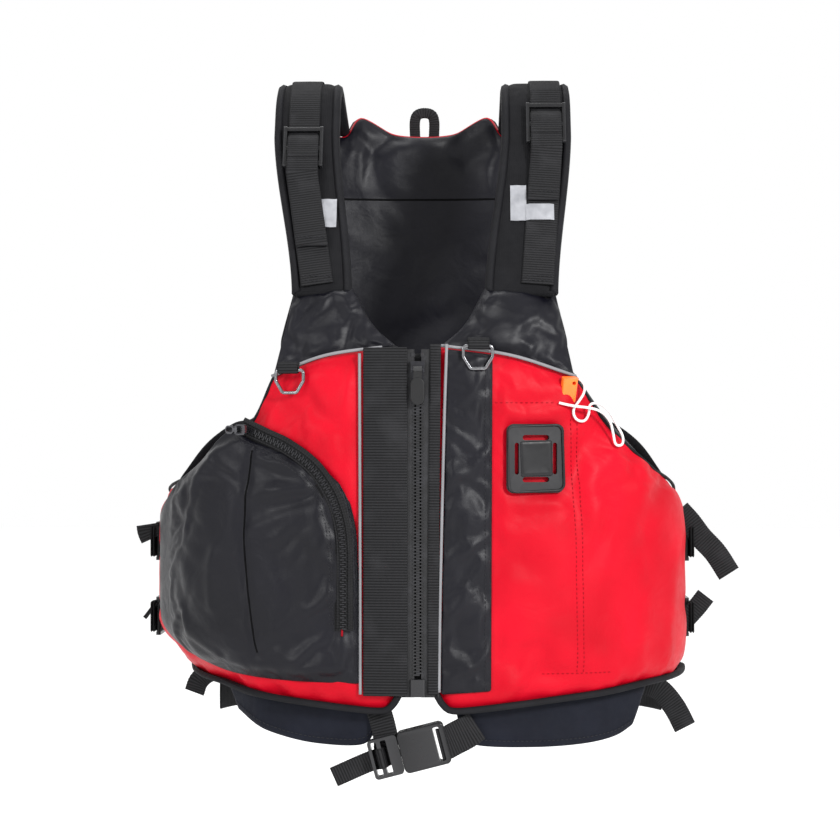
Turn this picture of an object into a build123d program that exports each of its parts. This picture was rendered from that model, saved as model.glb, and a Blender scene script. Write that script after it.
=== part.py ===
from build123d import *
import math
import os

# A front-opening paddling life jacket. +Z is up, -Y is the front, +X is the wearer's left.
# The origin is on the torso's axis, level with the bottom of the waist flaps. Millimetres.
# Flat and curved soft pieces are layers measured outward from one plan curve of the torso.

# Plan curve of the outer fabric: a shallow arc over the chest, then a tight arc round the side
FRONT_Y = -135.0
BACK_Y = 130.0
FACE_RADIUS = 380.0
SIDE_RADIUS = 125.0
FACE_HALF_ANGLE = 20.0
REACH = 330.0

# Fabric and foam
FABRIC = 1.2
FRONT_FOAM = 28.4
BACK_FOAM = 23.0
LINING = 1.1
GAP = 0.3

# Levels
HEM_Z = 34.0
BACK_PANEL_LOW_Z = 215.0
STRAP_BASE_Z = 352.0
YOKE_LOW_Z = 282.0
YOKE_THICKNESS = 10.0
ZIP_LOW_Z = 42.0
ZIP_TOP_Z = 303.0

# Front halves: x and z of the corners in front view, wearer's left and right
FRONT_EDGE_X = 14.0
SEAM_START = (17.0, 305.5)
SEAM_MID = (70.0, 298.5)
SEAM_END = {1: (120.0, 283.0), -1: (112.0, 283.0)}
ARMHOLE_MID = {1: (150.0, 244.0), -1: (134.0, 243.0)}
ARMHOLE_LOW = {1: (190.0, 210.0), -1: (186.0, 205.0)}
SIDE_TOP_Z = 190.0
FRONT_SIDE_END = 1.5

# Shoulder straps, in side view: two straight runs joined by an arc over the shoulder
SHOULDER_Y = 16.0
SHOULDER_Z = 476.0
SHOULDER_RADIUS = 51.0
FRONT_SLOPE = 65.0
BACK_SLOPE = -13.0
PAD_THICKNESS = 12.0
STRAP_INNER_X = 66.0
STRAP_OUTER_X = {1: 119.0, -1: 116.0}
STRAP_FOOT_X = {1: (52.0, 106.0), -1: (52.0, 100.0)}
STRAP_BACK_Y = 100.0
STRAP_FULL_Z = 480.0
STRAP_TOP_Z = 560.0

# Webbing and its ladder locks
WEBBING_WIDTH = 25.0
WEBBING = 1.6
LOCK_RAIL = 2.6
LOCK_RAIL_OVERHANG = 0.8
LOCK_INSIDE = 26.2
LOCK_BAR_LOW = 2.4
LOCK_BAR_HIGH = 5.4
LOCK_BARS = ((-1.8, 1.8), (12.0, 16.0), (30.0, 33.6))
SHOULDER_WEBBING_X = {1: 100.0, -1: 93.0}
SHOULDER_LOCK_Z = {1: 471.0, -1: 451.0}
SHOULDER_TAIL = {1: 56.0, -1: 75.0}
REFLECTOR_X = 74.0
REFLECTOR_Z = {1: 422.0, -1: 411.0}
REFLECTOR_SIZE = (14.0, 24.0)
SIDE_STRAP_X = 214.0
SIDE_LOCK_Y = 16.0
SIDE_STRAP_Z = {"upper": 150.0, "lower": 88.0}

# Front zip
ZIP_Y = -135.8
TAPE_THICKNESS = 0.8
TAPE_INNER_X = 2.6
TAPE_OUTER_X = 16.0
TOOTH_PITCH = 2.6
TOOTH_THICKNESS = 1.1
TOOTH_INNER_X = -1.3
TOOTH_OUTER_X = 3.8
TOOTH_DEPTH = 3.0
TEETH_LOW_Z = 59.0
TEETH_TOP_Z = 286.0
SLIDER_WIDTH = 12.8
SLIDER_HEIGHT = 14.0
SLIDER_DEPTH = 7.4
SLIDER_LOW_Z = 280.0
PULL_PIVOT_Z = 288.0
PULL_PIVOT_Y = -141.8

# D-rings
RING_WIRE = 1.25
RING_HALF_WIDTH = 11.0
RING_DROP = 17.0
RING_PROUD = 4.7
RING_PLACES = {1: (45.0, 305.5), -1: (-97.0, 287.5)}
RING_BEND = 2.6
TAB_WIDTH = 16.2

# Lash tab
LASH_TAB_PLACE = (88.0, 221.0)
LASH_TAB_PROUD = 1.3
LASH_TAB_TILT = 2.0

# Waist buckle, drawn along a belt line that rises to the wearer's left
BUCKLE_CENTRE = (-5.0, -133.0, 2.0)
BUCKLE_TILT = 14.5
BUCKLE_HALF_WIDTH = 16.0
SOCKET_START = -8.0
SOCKET_END = 28.0
PLUG_END = -31.0

# Pocket on the wearer's right
POCKET_DEPTH = 8.0
POCKET_SIDE_END = -24.0
POCKET_PULL_HEIGHT = 4.2
POCKET_SLIDER_SHARE = 0.06
POCKET_ZIP_START = (-136.0, 243.5)
POCKET_ZIP_TURN = (-98.0, 229.0)
POCKET_ZIP_DOWN = (-55.0, 172.0)
POCKET_ZIP_END = (-55.0, 92.0)

# Whistle, standing in a slit in the wearer's left front, and its cord
WHISTLE_X = 114.0
WHISTLE_Z = 274.0
WHISTLE_TILT = 20.0
WHISTLE_SIZE = (12.0, 6.4)
WHISTLE_LOW = -34.0
WHISTLE_TOP = 8.5
WHISTLE_CLEARANCE = 0.7
CORD_DIAMETER = 2.0
# Cord route as (x, z, height above the front's fabric)
CORD_ROUTE = (
    (120.6, 281.2, 3.0), (124.5, 279.0, 3.6), (125.0, 271.5, 4.0), (120.5, 264.5, 4.2),
    (115.8, 257.5, 2.6), (118.5, 250.0, 2.0), (125.5, 248.5, 2.0), (129.0, 255.0, 2.4),
    (128.0, 262.5, 4.0), (136.0, 263.0, 4.6), (144.0, 256.5, 4.2), (149.5, 246.5, 3.0),
    (155.5, 237.5, 2.2), (155.0, 230.5, 2.0), (149.0, 230.5, 2.0), (147.5, 239.0, 2.4),
    (144.5, 249.5, 3.6), (136.5, 257.0, 5.6), (126.5, 259.5, 6.8), (114.5, 260.5, 6.2),
    (105.5, 263.0, 3.4),
)

# Back
BACK_SIDE_END = -24.0

# Side straps: loose webbing beside the locks, in front view
SIDE_TAIL_Y = 12.0
SIDE_TAILS = {
    (1, "upper"): ((222.4, 160), (231, 154), (261, 130), (254, 108), (236, 116), (222.4, 138)),
    (1, "lower"): ((222.4, 99), (242, 108), (232, 80), (222.4, 77)),
    (-1, "upper"): ((-222.4, 161), (-228, 172), (-225, 150), (-222.4, 139)),
    (-1, "lower"): ((-222.4, 99), (-227, 96), (-222.4, 84)),
}


def save(piece, name):
    piece.part.label = name
    export_step(piece.part, f"parts/{name}.step")


def side_name(side):
    return "left" if side > 0 else "right"


# ---------------------------------------------------------------- shared geometry

def plan_band(face_y, inner, outer, side_end=0.0):
    """Plan view of a layer on the +X half of the front, from the middle to the side."""
    depth = abs(face_y)
    turn = math.radians(FACE_HALF_ANGLE)
    face_centre = (0, FACE_RADIUS - depth)
    spread = FACE_RADIUS - SIDE_RADIUS
    side_centre = (spread * math.sin(turn), face_centre[1] - spread * math.cos(turn))
    side_sweep = 90 - FACE_HALF_ANGLE + side_end
    with BuildSketch(mode=Mode.PRIVATE) as band:
        with BuildLine():
            face_out = CenterArc(face_centre, FACE_RADIUS + outer, -90, FACE_HALF_ANGLE)
            side_out = CenterArc(side_centre, SIDE_RADIUS + outer, FACE_HALF_ANGLE - 90, side_sweep)
            side_in = CenterArc(side_centre, SIDE_RADIUS + inner, FACE_HALF_ANGLE - 90, side_sweep)
            face_in = CenterArc(face_centre, FACE_RADIUS + inner, -90, FACE_HALF_ANGLE)
            Line(side_out @ 1, side_in @ 1)
            Line(face_out @ 0, face_in @ 0)
        make_face()
    return band.sketch


def plan_point(x, proud=0.0):
    """Depth y of the front's plan curve at x, and its outward direction as (x, y)."""
    turn = math.radians(FACE_HALF_ANGLE)
    spread = FACE_RADIUS - SIDE_RADIUS
    radius = FACE_RADIUS
    centre = (0.0, FRONT_Y + FACE_RADIUS)
    if abs(x) > (FACE_RADIUS + proud) * math.sin(turn):
        radius = SIDE_RADIUS
        centre = (math.copysign(spread * math.sin(turn), x), centre[1] - spread * math.cos(turn))
    across = (x - centre[0]) / (radius + proud)
    inward = math.sqrt(1 - across**2)
    return centre[1] - (radius + proud) * inward, (across, -inward)


def front_plane(x, z, proud=0.0):
    """Plane on the outer fabric of the front: x sideways, y up, z straight out."""
    y, outward = plan_point(x, proud)
    return Plane(origin=(x, y, z), x_dir=(-outward[1], outward[0], 0), z_dir=(*outward, 0))


def layer(outline, face_y, inner, outer, side_end=0.0, both_halves=False):
    """Solid of one curved layer, cut to an outline drawn in front view."""
    with BuildPart() as piece:
        extrude(plan_band(face_y, inner, outer, side_end), amount=STRAP_TOP_Z, both=True)
        if both_halves:
            mirror(about=Plane.YZ)
        extrude(outline, amount=REACH, both=True, mode=Mode.INTERSECT)
    return piece


def outline_of(*points):
    """Front-view outline with straight sides."""
    with BuildSketch(Plane.XZ, mode=Mode.PRIVATE) as outline:
        with BuildLine():
            Polyline(*points, close=True)
        make_face()
    return outline.sketch


def shrunk(outline, amount):
    with BuildSketch(Plane.XZ, mode=Mode.PRIVATE) as smaller:
        add(outline)
        offset(amount=-amount, kind=Kind.INTERSECTION)
    return smaller.sketch


def front_outline(side):
    """Outline of a front half below the yoke seam, drawn on +X."""
    with BuildSketch(Plane.XZ, mode=Mode.PRIVATE) as outline:
        with BuildLine():
            seam = ThreePointArc(SEAM_START, SEAM_MID, SEAM_END[side])
            armhole = ThreePointArc(SEAM_END[side], ARMHOLE_MID[side], ARMHOLE_LOW[side])
            Polyline(
                armhole @ 1,
                (REACH, SIDE_TOP_Z),
                (REACH, HEM_Z + 2),
                (30, HEM_Z - 4),
                (FRONT_EDGE_X, ZIP_LOW_Z),
                (FRONT_EDGE_X, ZIP_TOP_Z),
                seam @ 0,
            )
        make_face()
    return outline.sketch


def strap_band(low, high, back_y):
    """Side view of a layer of the shoulder strap, low to high above its upper face."""
    front = math.radians(FRONT_SLOPE)
    back = math.radians(BACK_SLOPE)
    centre = Vector(SHOULDER_Y, SHOULDER_Z)
    front_out = Vector(-math.sin(front), math.cos(front))
    back_out = Vector(-math.sin(back), math.cos(back))
    run = (SHOULDER_Z - STRAP_BASE_Z) / math.sin(front) + 2 * PAD_THICKNESS + 30
    fall = (back_y - SHOULDER_Y) / math.cos(back) - SHOULDER_RADIUS * math.sin(-back)
    down = Vector(-math.cos(front), -math.sin(front)) * run
    along = Vector(math.cos(back), math.sin(back)) * fall
    with BuildSketch(Plane.YZ, mode=Mode.PRIVATE) as band:
        with BuildLine():
            arcs = [
                CenterArc(centre, SHOULDER_RADIUS + height, 90 + BACK_SLOPE, FRONT_SLOPE - BACK_SLOPE)
                for height in (low, high)
            ]
            for arc in arcs:
                Line(arc @ 0, arc @ 0 + along)
                Line(arc @ 1, arc @ 1 + down)
            Line(arcs[0] @ 0 + along, arcs[1] @ 0 + along)
            Line(arcs[0] @ 1 + down, arcs[1] @ 1 + down)
        make_face()
    return band.sketch


def strap_plane(x, z):
    """Plane across the front run of a strap: x up along it, y straight out of its face."""
    slope = math.radians(FRONT_SLOPE)
    along = Vector(0, math.cos(slope), math.sin(slope))
    out = Vector(0, -math.sin(slope), math.cos(slope))
    tangent = Vector(0, SHOULDER_Y, SHOULDER_Z) + out * SHOULDER_RADIUS
    origin = tangent + along * ((z - tangent.Z) / along.Z)
    return Plane(origin=(x, origin.Y, z), x_dir=along, z_dir=(1, 0, 0))


def side_plane(side, z):
    """Plane across a side strap: x towards the back, y outward."""
    return Plane(origin=(side * SIDE_STRAP_X, SIDE_LOCK_Y, z), x_dir=(0, 1, 0), z_dir=(0, 0, -side))


# ---------------------------------------------------------------- front halves

def make_front_half(side):
    """Outer cover as a tray, the foam in it, and the lining that closes it."""
    outline = front_outline(side)
    back_of_tray = -(FABRIC + FRONT_FOAM + GAP)
    with BuildPart() as cover:
        add(layer(outline, FRONT_Y, back_of_tray, 0, FRONT_SIDE_END).part)
        inside = layer(shrunk(outline, FABRIC), FRONT_Y, -REACH / 10, -FABRIC, FRONT_SIDE_END - 0.6)
        add(inside.part, mode=Mode.SUBTRACT)
        if side > 0:
            add(whistle_bar(WHISTLE_CLEARANCE).part, mode=Mode.SUBTRACT)
        else:
            mirror(about=Plane.YZ, mode=Mode.REPLACE)
    save(cover, f"{side_name(side)}_front_cover")

    with BuildPart() as foam:
        core = shrunk(outline, FABRIC + GAP)
        add(layer(core, FRONT_Y, back_of_tray + GAP, -FABRIC - GAP, FRONT_SIDE_END - 0.8).part)
        if side > 0:
            add(whistle_bar(WHISTLE_CLEARANCE).part, mode=Mode.SUBTRACT)
        else:
            mirror(about=Plane.YZ, mode=Mode.REPLACE)
    save(foam, f"{side_name(side)}_front_foam")

    with BuildPart() as lining:
        add(layer(outline, FRONT_Y, back_of_tray - GAP - LINING, back_of_tray - GAP, FRONT_SIDE_END).part)
        if side < 0:
            mirror(about=Plane.YZ, mode=Mode.REPLACE)
    save(lining, f"{side_name(side)}_front_lining")


def make_waist_flap(side):
    """Neoprene flap below the hem of a front half."""
    outer_x = 190 if side > 0 else 172
    outline = outline_of(
        (27, HEM_Z - 5), (32, 14), (44, 2), (125, 2), (outer_x - 16, 9), (outer_x, HEM_Z - 2), (40, HEM_Z - 5)
    )
    with BuildPart() as flap:
        add(layer(outline, FRONT_Y, -14, -10).part)
        if side < 0:
            mirror(about=Plane.YZ, mode=Mode.REPLACE)
    save(flap, f"{side_name(side)}_waist_flap")


# ---------------------------------------------------------------- yokes and shoulder straps

def make_yoke(side):
    """Black panel from the chest seam up to the foot of the strap."""
    lift = Vector(0, 0.5)
    end = Vector(*SEAM_END[side])
    slope = math.radians(FRONT_SLOPE)
    base = plan_band(FRONT_Y, -YOKE_THICKNESS, 0).moved(Location((0, 0, YOKE_LOW_Z)))
    with BuildPart() as yoke:
        extrude(base, amount=REACH / 2, dir=(0, math.cos(slope), math.sin(slope)))
        with BuildSketch(Plane.XZ):
            with BuildLine():
                seam = ThreePointArc(*[Vector(*point) + lift for point in (SEAM_START, SEAM_MID, end)])
                neckline = ThreePointArc(seam @ 0, (36, 323), (STRAP_FOOT_X[side][0], STRAP_BASE_Z))
                Polyline(neckline @ 1, (STRAP_FOOT_X[side][1], STRAP_BASE_Z), seam @ 1)
            make_face()
        extrude(amount=REACH, both=True, mode=Mode.INTERSECT)
        if side < 0:
            mirror(about=Plane.YZ, mode=Mode.REPLACE)
    save(yoke, f"{side_name(side)}_yoke")


def make_shoulder_pad(side):
    """Padded strap over the shoulder, from the yoke to the top of the back panel."""
    low_z = STRAP_BASE_Z + 0.4
    inner_foot, outer_foot = STRAP_FOOT_X[side]
    outer = STRAP_OUTER_X[side]
    outline = outline_of(
        (inner_foot, low_z), (STRAP_INNER_X, STRAP_FULL_Z), (STRAP_INNER_X, STRAP_TOP_Z),
        (outer, STRAP_TOP_Z), (outer, STRAP_FULL_Z), (outer_foot, low_z),
    )
    with BuildPart() as pad:
        extrude(strap_band(-PAD_THICKNESS, 0, STRAP_BACK_Y), amount=REACH)
        extrude(outline, amount=REACH, both=True, mode=Mode.INTERSECT)
        if side < 0:
            mirror(about=Plane.YZ, mode=Mode.REPLACE)
    save(pad, f"{side_name(side)}_shoulder_pad")


def strip(plane, path, width=WEBBING_WIDTH):
    """Webbing that follows a path of (along, height) points, centred on the plane."""
    with BuildPart() as webbing:
        with BuildSketch(plane):
            with BuildLine():
                Polyline(*path)
            trace(line_width=WEBBING)
        extrude(amount=width / 2, both=True)
    return webbing


def make_lock(plane, name):
    """Ladder lock: two rails joined by three bars."""
    bar_height = LOCK_BAR_HIGH - LOCK_BAR_LOW
    middle = (LOCK_BAR_LOW + LOCK_BAR_HIGH) / 2
    start = LOCK_BARS[0][0] - LOCK_RAIL_OVERHANG
    length = LOCK_BARS[-1][1] + LOCK_RAIL_OVERHANG - start
    with BuildPart() as lock:
        with BuildSketch(plane):
            for low, high in LOCK_BARS:
                with Locations(((low + high) / 2, middle)):
                    RectangleRounded(high - low, bar_height, 1)
        extrude(amount=LOCK_INSIDE / 2, both=True)
        for way in (-1, 1):
            with BuildSketch(plane.offset(way * (LOCK_INSIDE + LOCK_RAIL) / 2)):
                with Locations((start + length / 2, middle)):
                    RectangleRounded(length, bar_height + 0.8, 1.4)
            extrude(amount=LOCK_RAIL / 2, both=True)
    save(lock, name)


def anchor_path(length):
    """Webbing sewn down at one end and folded back over the lock's first bar."""
    return [(-length, 1.2), (5, 1.2), (5, 6.6), (-9, 6.6)]


def tail_path(start, length):
    """Webbing that comes in under the lock, over its middle bar and out as a loose tail."""
    return [(start, 1.2), (29, 1.2), (21, 7.1), (11, 7.1), (5, 8.8), (-11, 8.8), (-19, 3.3), (-length, 3.3)]


def make_shoulder_webbing(side):
    """Upper webbing over the shoulder with its tail, lower anchor webbing, lock and reflector."""
    name = side_name(side)
    x = side * SHOULDER_WEBBING_X[side]
    plane = strap_plane(x, SHOULDER_LOCK_Z[side])
    slope = math.radians(FRONT_SLOPE)
    tangent_z = SHOULDER_Z + SHOULDER_RADIUS * math.cos(slope)
    to_arc = (tangent_z - SHOULDER_LOCK_Z[side]) / math.sin(slope)
    make_lock(plane, f"{name}_shoulder_lock")

    with BuildPart() as upper:
        low = 1.2 - WEBBING / 2
        band = strap_band(low, low + WEBBING, STRAP_BACK_Y - 6)
        extrude(band.moved(Location((x, 0, 0))), amount=WEBBING_WIDTH / 2, both=True)
        split(bisect_by=Plane(plane.origin + plane.x_dir * to_arc, z_dir=plane.x_dir), keep=Keep.TOP)
        add(strip(plane, tail_path(max(to_arc, 29.5), SHOULDER_TAIL[side])).part)
    save(upper, f"{name}_shoulder_webbing")

    anchor_length = (SHOULDER_LOCK_Z[side] - STRAP_BASE_Z) / math.sin(slope) - 2
    anchor = strip(plane, anchor_path(anchor_length))
    save(anchor, f"{name}_shoulder_anchor")


def make_reflectors():
    """Silver reflective tape sewn across each strap beside the webbing."""
    with BuildPart() as tapes:
        for side, z in REFLECTOR_Z.items():
            plane = strap_plane(0, z)
            face = Plane(plane.origin + plane.y_dir * 0.05, x_dir=(1, 0, 0), z_dir=plane.y_dir)
            with BuildSketch(face):
                with Locations((side * REFLECTOR_X, 0)):
                    Rectangle(*REFLECTOR_SIZE)
            extrude(amount=0.25)
    save(tapes, "reflectors")


# ---------------------------------------------------------------- front zip

def make_zip_chain(side):
    """Zip tape with its row of teeth; the two rows mesh at the middle."""
    shift = TOOTH_PITCH / 2 if side > 0 else 0
    count = int((TEETH_TOP_Z - TEETH_LOW_Z) / TOOTH_PITCH)
    with BuildPart() as chain:
        with BuildSketch(Plane.XZ.offset(-ZIP_Y)):
            with Locations(((TAPE_INNER_X + TAPE_OUTER_X) / 2, (ZIP_LOW_Z + ZIP_TOP_Z) / 2)):
                Rectangle(TAPE_OUTER_X - TAPE_INNER_X, ZIP_TOP_Z - ZIP_LOW_Z)
        extrude(amount=TAPE_THICKNESS / 2, both=True)
        with BuildSketch(Plane.XZ.offset(-ZIP_Y)):
            for index in range(count):
                z = TEETH_LOW_Z + index * TOOTH_PITCH + shift
                with Locations(((TOOTH_INNER_X + TOOTH_OUTER_X) / 2, z)):
                    Rectangle(TOOTH_OUTER_X - TOOTH_INNER_X, TOOTH_THICKNESS)
        extrude(amount=TOOTH_DEPTH / 2, both=True)
        with Locations((TAPE_INNER_X + 1, ZIP_Y, ZIP_TOP_Z - 4)):
            Box(2.6, TOOTH_DEPTH, 3)
        if side < 0:
            mirror(about=Plane.YZ, mode=Mode.REPLACE)
    save(chain, f"{side_name(side)}_zip_chain")


def cut_chain_channel(low_z, high_z):
    """Room for the teeth and the tapes through a block on the zip."""
    middle_z = (low_z + high_z) / 2
    with Locations((0, ZIP_Y, middle_z)):
        Box(2 * TOOTH_OUTER_X + 1, TOOTH_DEPTH + 0.8, high_z - low_z, mode=Mode.SUBTRACT)
        Box(2 * TAPE_OUTER_X, TAPE_THICKNESS + 0.8, high_z - low_z, mode=Mode.SUBTRACT)


def make_zip_slider():
    """Slider with a channel for the teeth, its wedge post, and the bridge for the pull."""
    slider_top = SLIDER_LOW_Z + SLIDER_HEIGHT
    bridge_y = PULL_PIVOT_Y
    with BuildPart() as slider:
        with BuildSketch(Plane.XZ.offset(-ZIP_Y)):
            with Locations((0, SLIDER_LOW_Z + SLIDER_HEIGHT / 2)):
                Trapezoid(SLIDER_WIDTH - 2, SLIDER_HEIGHT, 86, rotation=180)
        extrude(amount=SLIDER_DEPTH / 2, both=True)
        cut_chain_channel(SLIDER_LOW_Z - 1, slider_top + 1)
        with Locations((0, ZIP_Y, slider_top - 3.6)):
            Box(2.2, TOOTH_DEPTH + 1, 4.4)
        for way in (-1, 1):
            with Locations((way * 4.4, bridge_y + 1.2, PULL_PIVOT_Z)):
                Box(1.4, 3.6, 4.0)
        with BuildSketch(Plane.YZ):
            with Locations((bridge_y, PULL_PIVOT_Z)):
                Circle(0.8)
        extrude(amount=4.6, both=True)
    save(slider, "front_zip_slider")


def make_zip_pull():
    """Metal eye on the slider's bridge with an oval rubber grip moulded on it."""
    with BuildPart() as pull:
        with BuildSketch(Plane.XZ.offset(-PULL_PIVOT_Y)):
            with Locations((0, PULL_PIVOT_Z - 16.5)):
                SlotOverall(21, 10.5, rotation=90)
        extrude(amount=1.3, both=True)
        fillet(pull.edges().filter_by(Plane.XZ), 1.0)
        with BuildSketch(Plane.YZ) as eye:
            with Locations((PULL_PIVOT_Y, PULL_PIVOT_Z)):
                Circle(2.2)
            with Locations((PULL_PIVOT_Y, PULL_PIVOT_Z - 4)):
                Rectangle(1.8, 7)
            with Locations((PULL_PIVOT_Y, PULL_PIVOT_Z)):
                Circle(1.15, mode=Mode.SUBTRACT)
        extrude(amount=3.2, both=True)
    save(pull, "front_zip_pull")


def make_zip_box():
    """Moulded retainer box at the bottom of the zip."""
    with BuildPart() as box:
        with Locations((0, ZIP_Y, (ZIP_LOW_Z + TEETH_LOW_Z) / 2 - 1.5)):
            Box(11, 6.4, TEETH_LOW_Z - ZIP_LOW_Z - 4)
        fillet(box.edges().filter_by(Axis.Z), 1.5)
        for way in (-1, 1):
            with Locations((way * 9, ZIP_Y, ZIP_LOW_Z + 8)):
                Box(2 * (9 - TAPE_INNER_X + GAP), TAPE_THICKNESS + 0.6, 40, mode=Mode.SUBTRACT)
    save(box, "zip_bottom_box")


def make_zip_trim():
    """Wide ribbed webbing, narrow facing tape and nylon placket beside the zip."""
    with BuildPart() as webbing:
        outline = outline_of((7.6, 42), (41, 42), (41, 302), (7.6, 302))
        add(layer(outline, FRONT_Y, 1.7, 3.5).part)
        mirror(about=Plane.YZ, mode=Mode.REPLACE)
    save(webbing, "right_zip_webbing")
    facing = layer(outline_of((7.6, 44), (16.5, 44), (16.5, 303), (7.6, 303)), FRONT_Y, 1.7, 2.9)
    save(facing, "left_zip_facing")
    placket_outline = outline_of((17.2, 44), (55, 46), (56, 308), (21, 310))
    placket = layer(placket_outline, FRONT_Y, GAP, 2.0)
    save(placket, "left_zip_placket")


# ---------------------------------------------------------------- rings, tabs, pocket

def make_dring(side):
    """Bent wire ring hanging from its bar, and the folded webbing tab that holds the bar."""
    x, z = RING_PLACES[side]
    plane = front_plane(x, z, RING_PROUD)
    half = RING_HALF_WIDTH
    with BuildSketch(plane, mode=Mode.PRIVATE) as centre_line:
        with BuildLine():
            Polyline(
                (half, 0), (half, -8), (half / 2, -RING_DROP),
                (-half / 2, -RING_DROP), (-half, -8), (-half, 0), close=True,
            )
        make_face()
        fillet(centre_line.vertices(), RING_BEND)
    with BuildPart() as ring:
        with BuildSketch(plane):
            add(offset(centre_line.sketch_local, RING_WIRE, mode=Mode.PRIVATE))
            add(offset(centre_line.sketch_local, -RING_WIRE, mode=Mode.PRIVATE), mode=Mode.SUBTRACT)
        extrude(amount=RING_WIRE, both=True)
        flat_faces = ring.faces().sort_by(Axis(plane.origin, plane.z_dir))
        fillet((flat_faces[0].edges() + flat_faces[-1].edges()), RING_WIRE - 0.25)
    save(ring, f"{side_name(side)}_dring")

    with BuildPart() as tab:
        with BuildSketch(Plane(plane.origin, x_dir=plane.y_dir, z_dir=plane.x_dir)):
            with Locations((3.5, 0)):
                Rectangle(13, 4.6)
            Circle(RING_WIRE + 0.35, mode=Mode.SUBTRACT)
        extrude(amount=TAB_WIDTH / 2, both=True)
    save(tab, f"{side_name(side)}_dring_tab")


def make_lash_tab():
    """Four-slot patch for lashing a knife or light to the chest."""
    plane = front_plane(*LASH_TAB_PLACE, LASH_TAB_PROUD).rotated((0, 0, LASH_TAB_TILT))
    with BuildPart() as tab:
        with BuildSketch(plane):
            RectangleRounded(45, 52, 5.5)
        extrude(amount=2.0)
        with BuildSketch(plane.offset(2.0)):
            RectangleRounded(43.4, 50.4, 4.7)
        extrude(amount=1.0)
        with BuildSketch(plane):
            with Locations((0, 15.8), (0, -15.8)):
                SlotOverall(21, 3.9)
            with Locations((15, 0), (-15, 0)):
                SlotOverall(24, 3.4, rotation=90)
        extrude(amount=3.0, mode=Mode.SUBTRACT)
    save(tab, "lash_tab")


def make_pocket():
    """Bellows pocket on the wearer's right front, with its zip, slider and pull."""
    with BuildSketch(Plane.XZ, mode=Mode.PRIVATE) as outline:
        with BuildLine():
            top = Spline((214, 190), (160, 222), (133, 247))
            corner = Spline(top @ 1, (92.5, 229), (62, 206), (48, 174), (45.5, 140))
            Polyline(corner @ 1, (45, 52), (95, 54), (150, 58))
            side = ThreePointArc((150, 58), (192, 66), (214, 112))
            Line(side @ 1, top @ 0)
        make_face()
    with BuildPart() as pocket:
        add(layer(outline.sketch, FRONT_Y, GAP, POCKET_DEPTH, POCKET_SIDE_END).part)
        mirror(about=Plane.YZ, mode=Mode.REPLACE)
    save(pocket, "right_pocket")

    with BuildPart() as chain:
        extrude(plan_band(FRONT_Y, POCKET_DEPTH + GAP, POCKET_DEPTH + 2.4), amount=REACH)
        mirror(about=Plane.YZ)
        with BuildSketch(Plane.XZ) as run:
            with BuildLine():
                first = Line(POCKET_ZIP_START, POCKET_ZIP_TURN)
                bend = TangentArc(POCKET_ZIP_TURN, POCKET_ZIP_DOWN, tangent=first % 1)
                Line(bend @ 1, POCKET_ZIP_END)
            trace(line_width=5)
        extrude(amount=REACH, both=True, mode=Mode.INTERSECT)
    save(chain, "pocket_zip_chain")

    plane = pocket_slider_plane()
    with BuildPart() as slider:
        with BuildSketch(plane):
            RectangleRounded(11, 8, 2)
        extrude(amount=2.0)
        with Locations(plane):
            with Locations((-2, 2.4, 3.2), (-2, -2.4, 3.2)):
                Box(2.4, 1.0, 2.8)
            with Locations((-2, 0, POCKET_PULL_HEIGHT)):
                Cylinder(0.5, 5, rotation=(90, 0, 0))
    save(slider, "pocket_zip_slider")

    with BuildPart() as pull:
        with BuildSketch(plane.offset(POCKET_PULL_HEIGHT)):
            with Locations((-8.6, 0)):
                SlotOverall(9.4, 6.4)
                SlotOverall(7.0, 4.0, mode=Mode.SUBTRACT)
            with Locations((-3.2, 0)):
                Rectangle(2.8, 3.2)
        extrude(amount=0.7, both=True)
        with BuildSketch(Plane(plane.origin, x_dir=plane.x_dir, z_dir=-plane.y_dir)):
            with Locations((-2, POCKET_PULL_HEIGHT)):
                Circle(1.4)
        extrude(amount=1.6, both=True)
        with BuildSketch(Plane(plane.origin, x_dir=plane.x_dir, z_dir=-plane.y_dir)):
            with Locations((-2, POCKET_PULL_HEIGHT)):
                Circle(0.8)
        extrude(amount=4, both=True, mode=Mode.SUBTRACT)
    save(pull, "pocket_zip_pull")


def pocket_slider_plane():
    """Plane on the pocket zip under its slider: x along the zip, z straight out."""
    run_x = POCKET_ZIP_TURN[0] - POCKET_ZIP_START[0]
    run_z = POCKET_ZIP_TURN[1] - POCKET_ZIP_START[1]
    x = POCKET_ZIP_START[0] + POCKET_SLIDER_SHARE * run_x
    z = POCKET_ZIP_START[1] + POCKET_SLIDER_SHARE * run_z
    fall = math.atan2(run_z, run_x)
    return front_plane(x, z, POCKET_DEPTH + 3.9).rotated((0, 0, math.degrees(fall)))


# ---------------------------------------------------------------- whistle and cord

def whistle_plane():
    """Plane across the whistle: x over its width, z along it, leaning out of the slit."""
    front = front_plane(WHISTLE_X, WHISTLE_Z)
    lean = math.radians(WHISTLE_TILT)
    return Plane(
        origin=front.origin,
        x_dir=front.x_dir,
        z_dir=front.y_dir * math.cos(lean) + front.z_dir * math.sin(lean),
    )


def whistle_bar(clearance):
    """Straight room that the whistle slides in, through the cover and into the foam."""
    width, depth = WHISTLE_SIZE
    with BuildPart() as bar:
        with BuildSketch(whistle_plane().offset(WHISTLE_LOW - clearance)):
            Rectangle(width + 2 * clearance, depth + 2 * clearance)
        extrude(amount=WHISTLE_TOP - WHISTLE_LOW + 30)
    return bar


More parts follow.
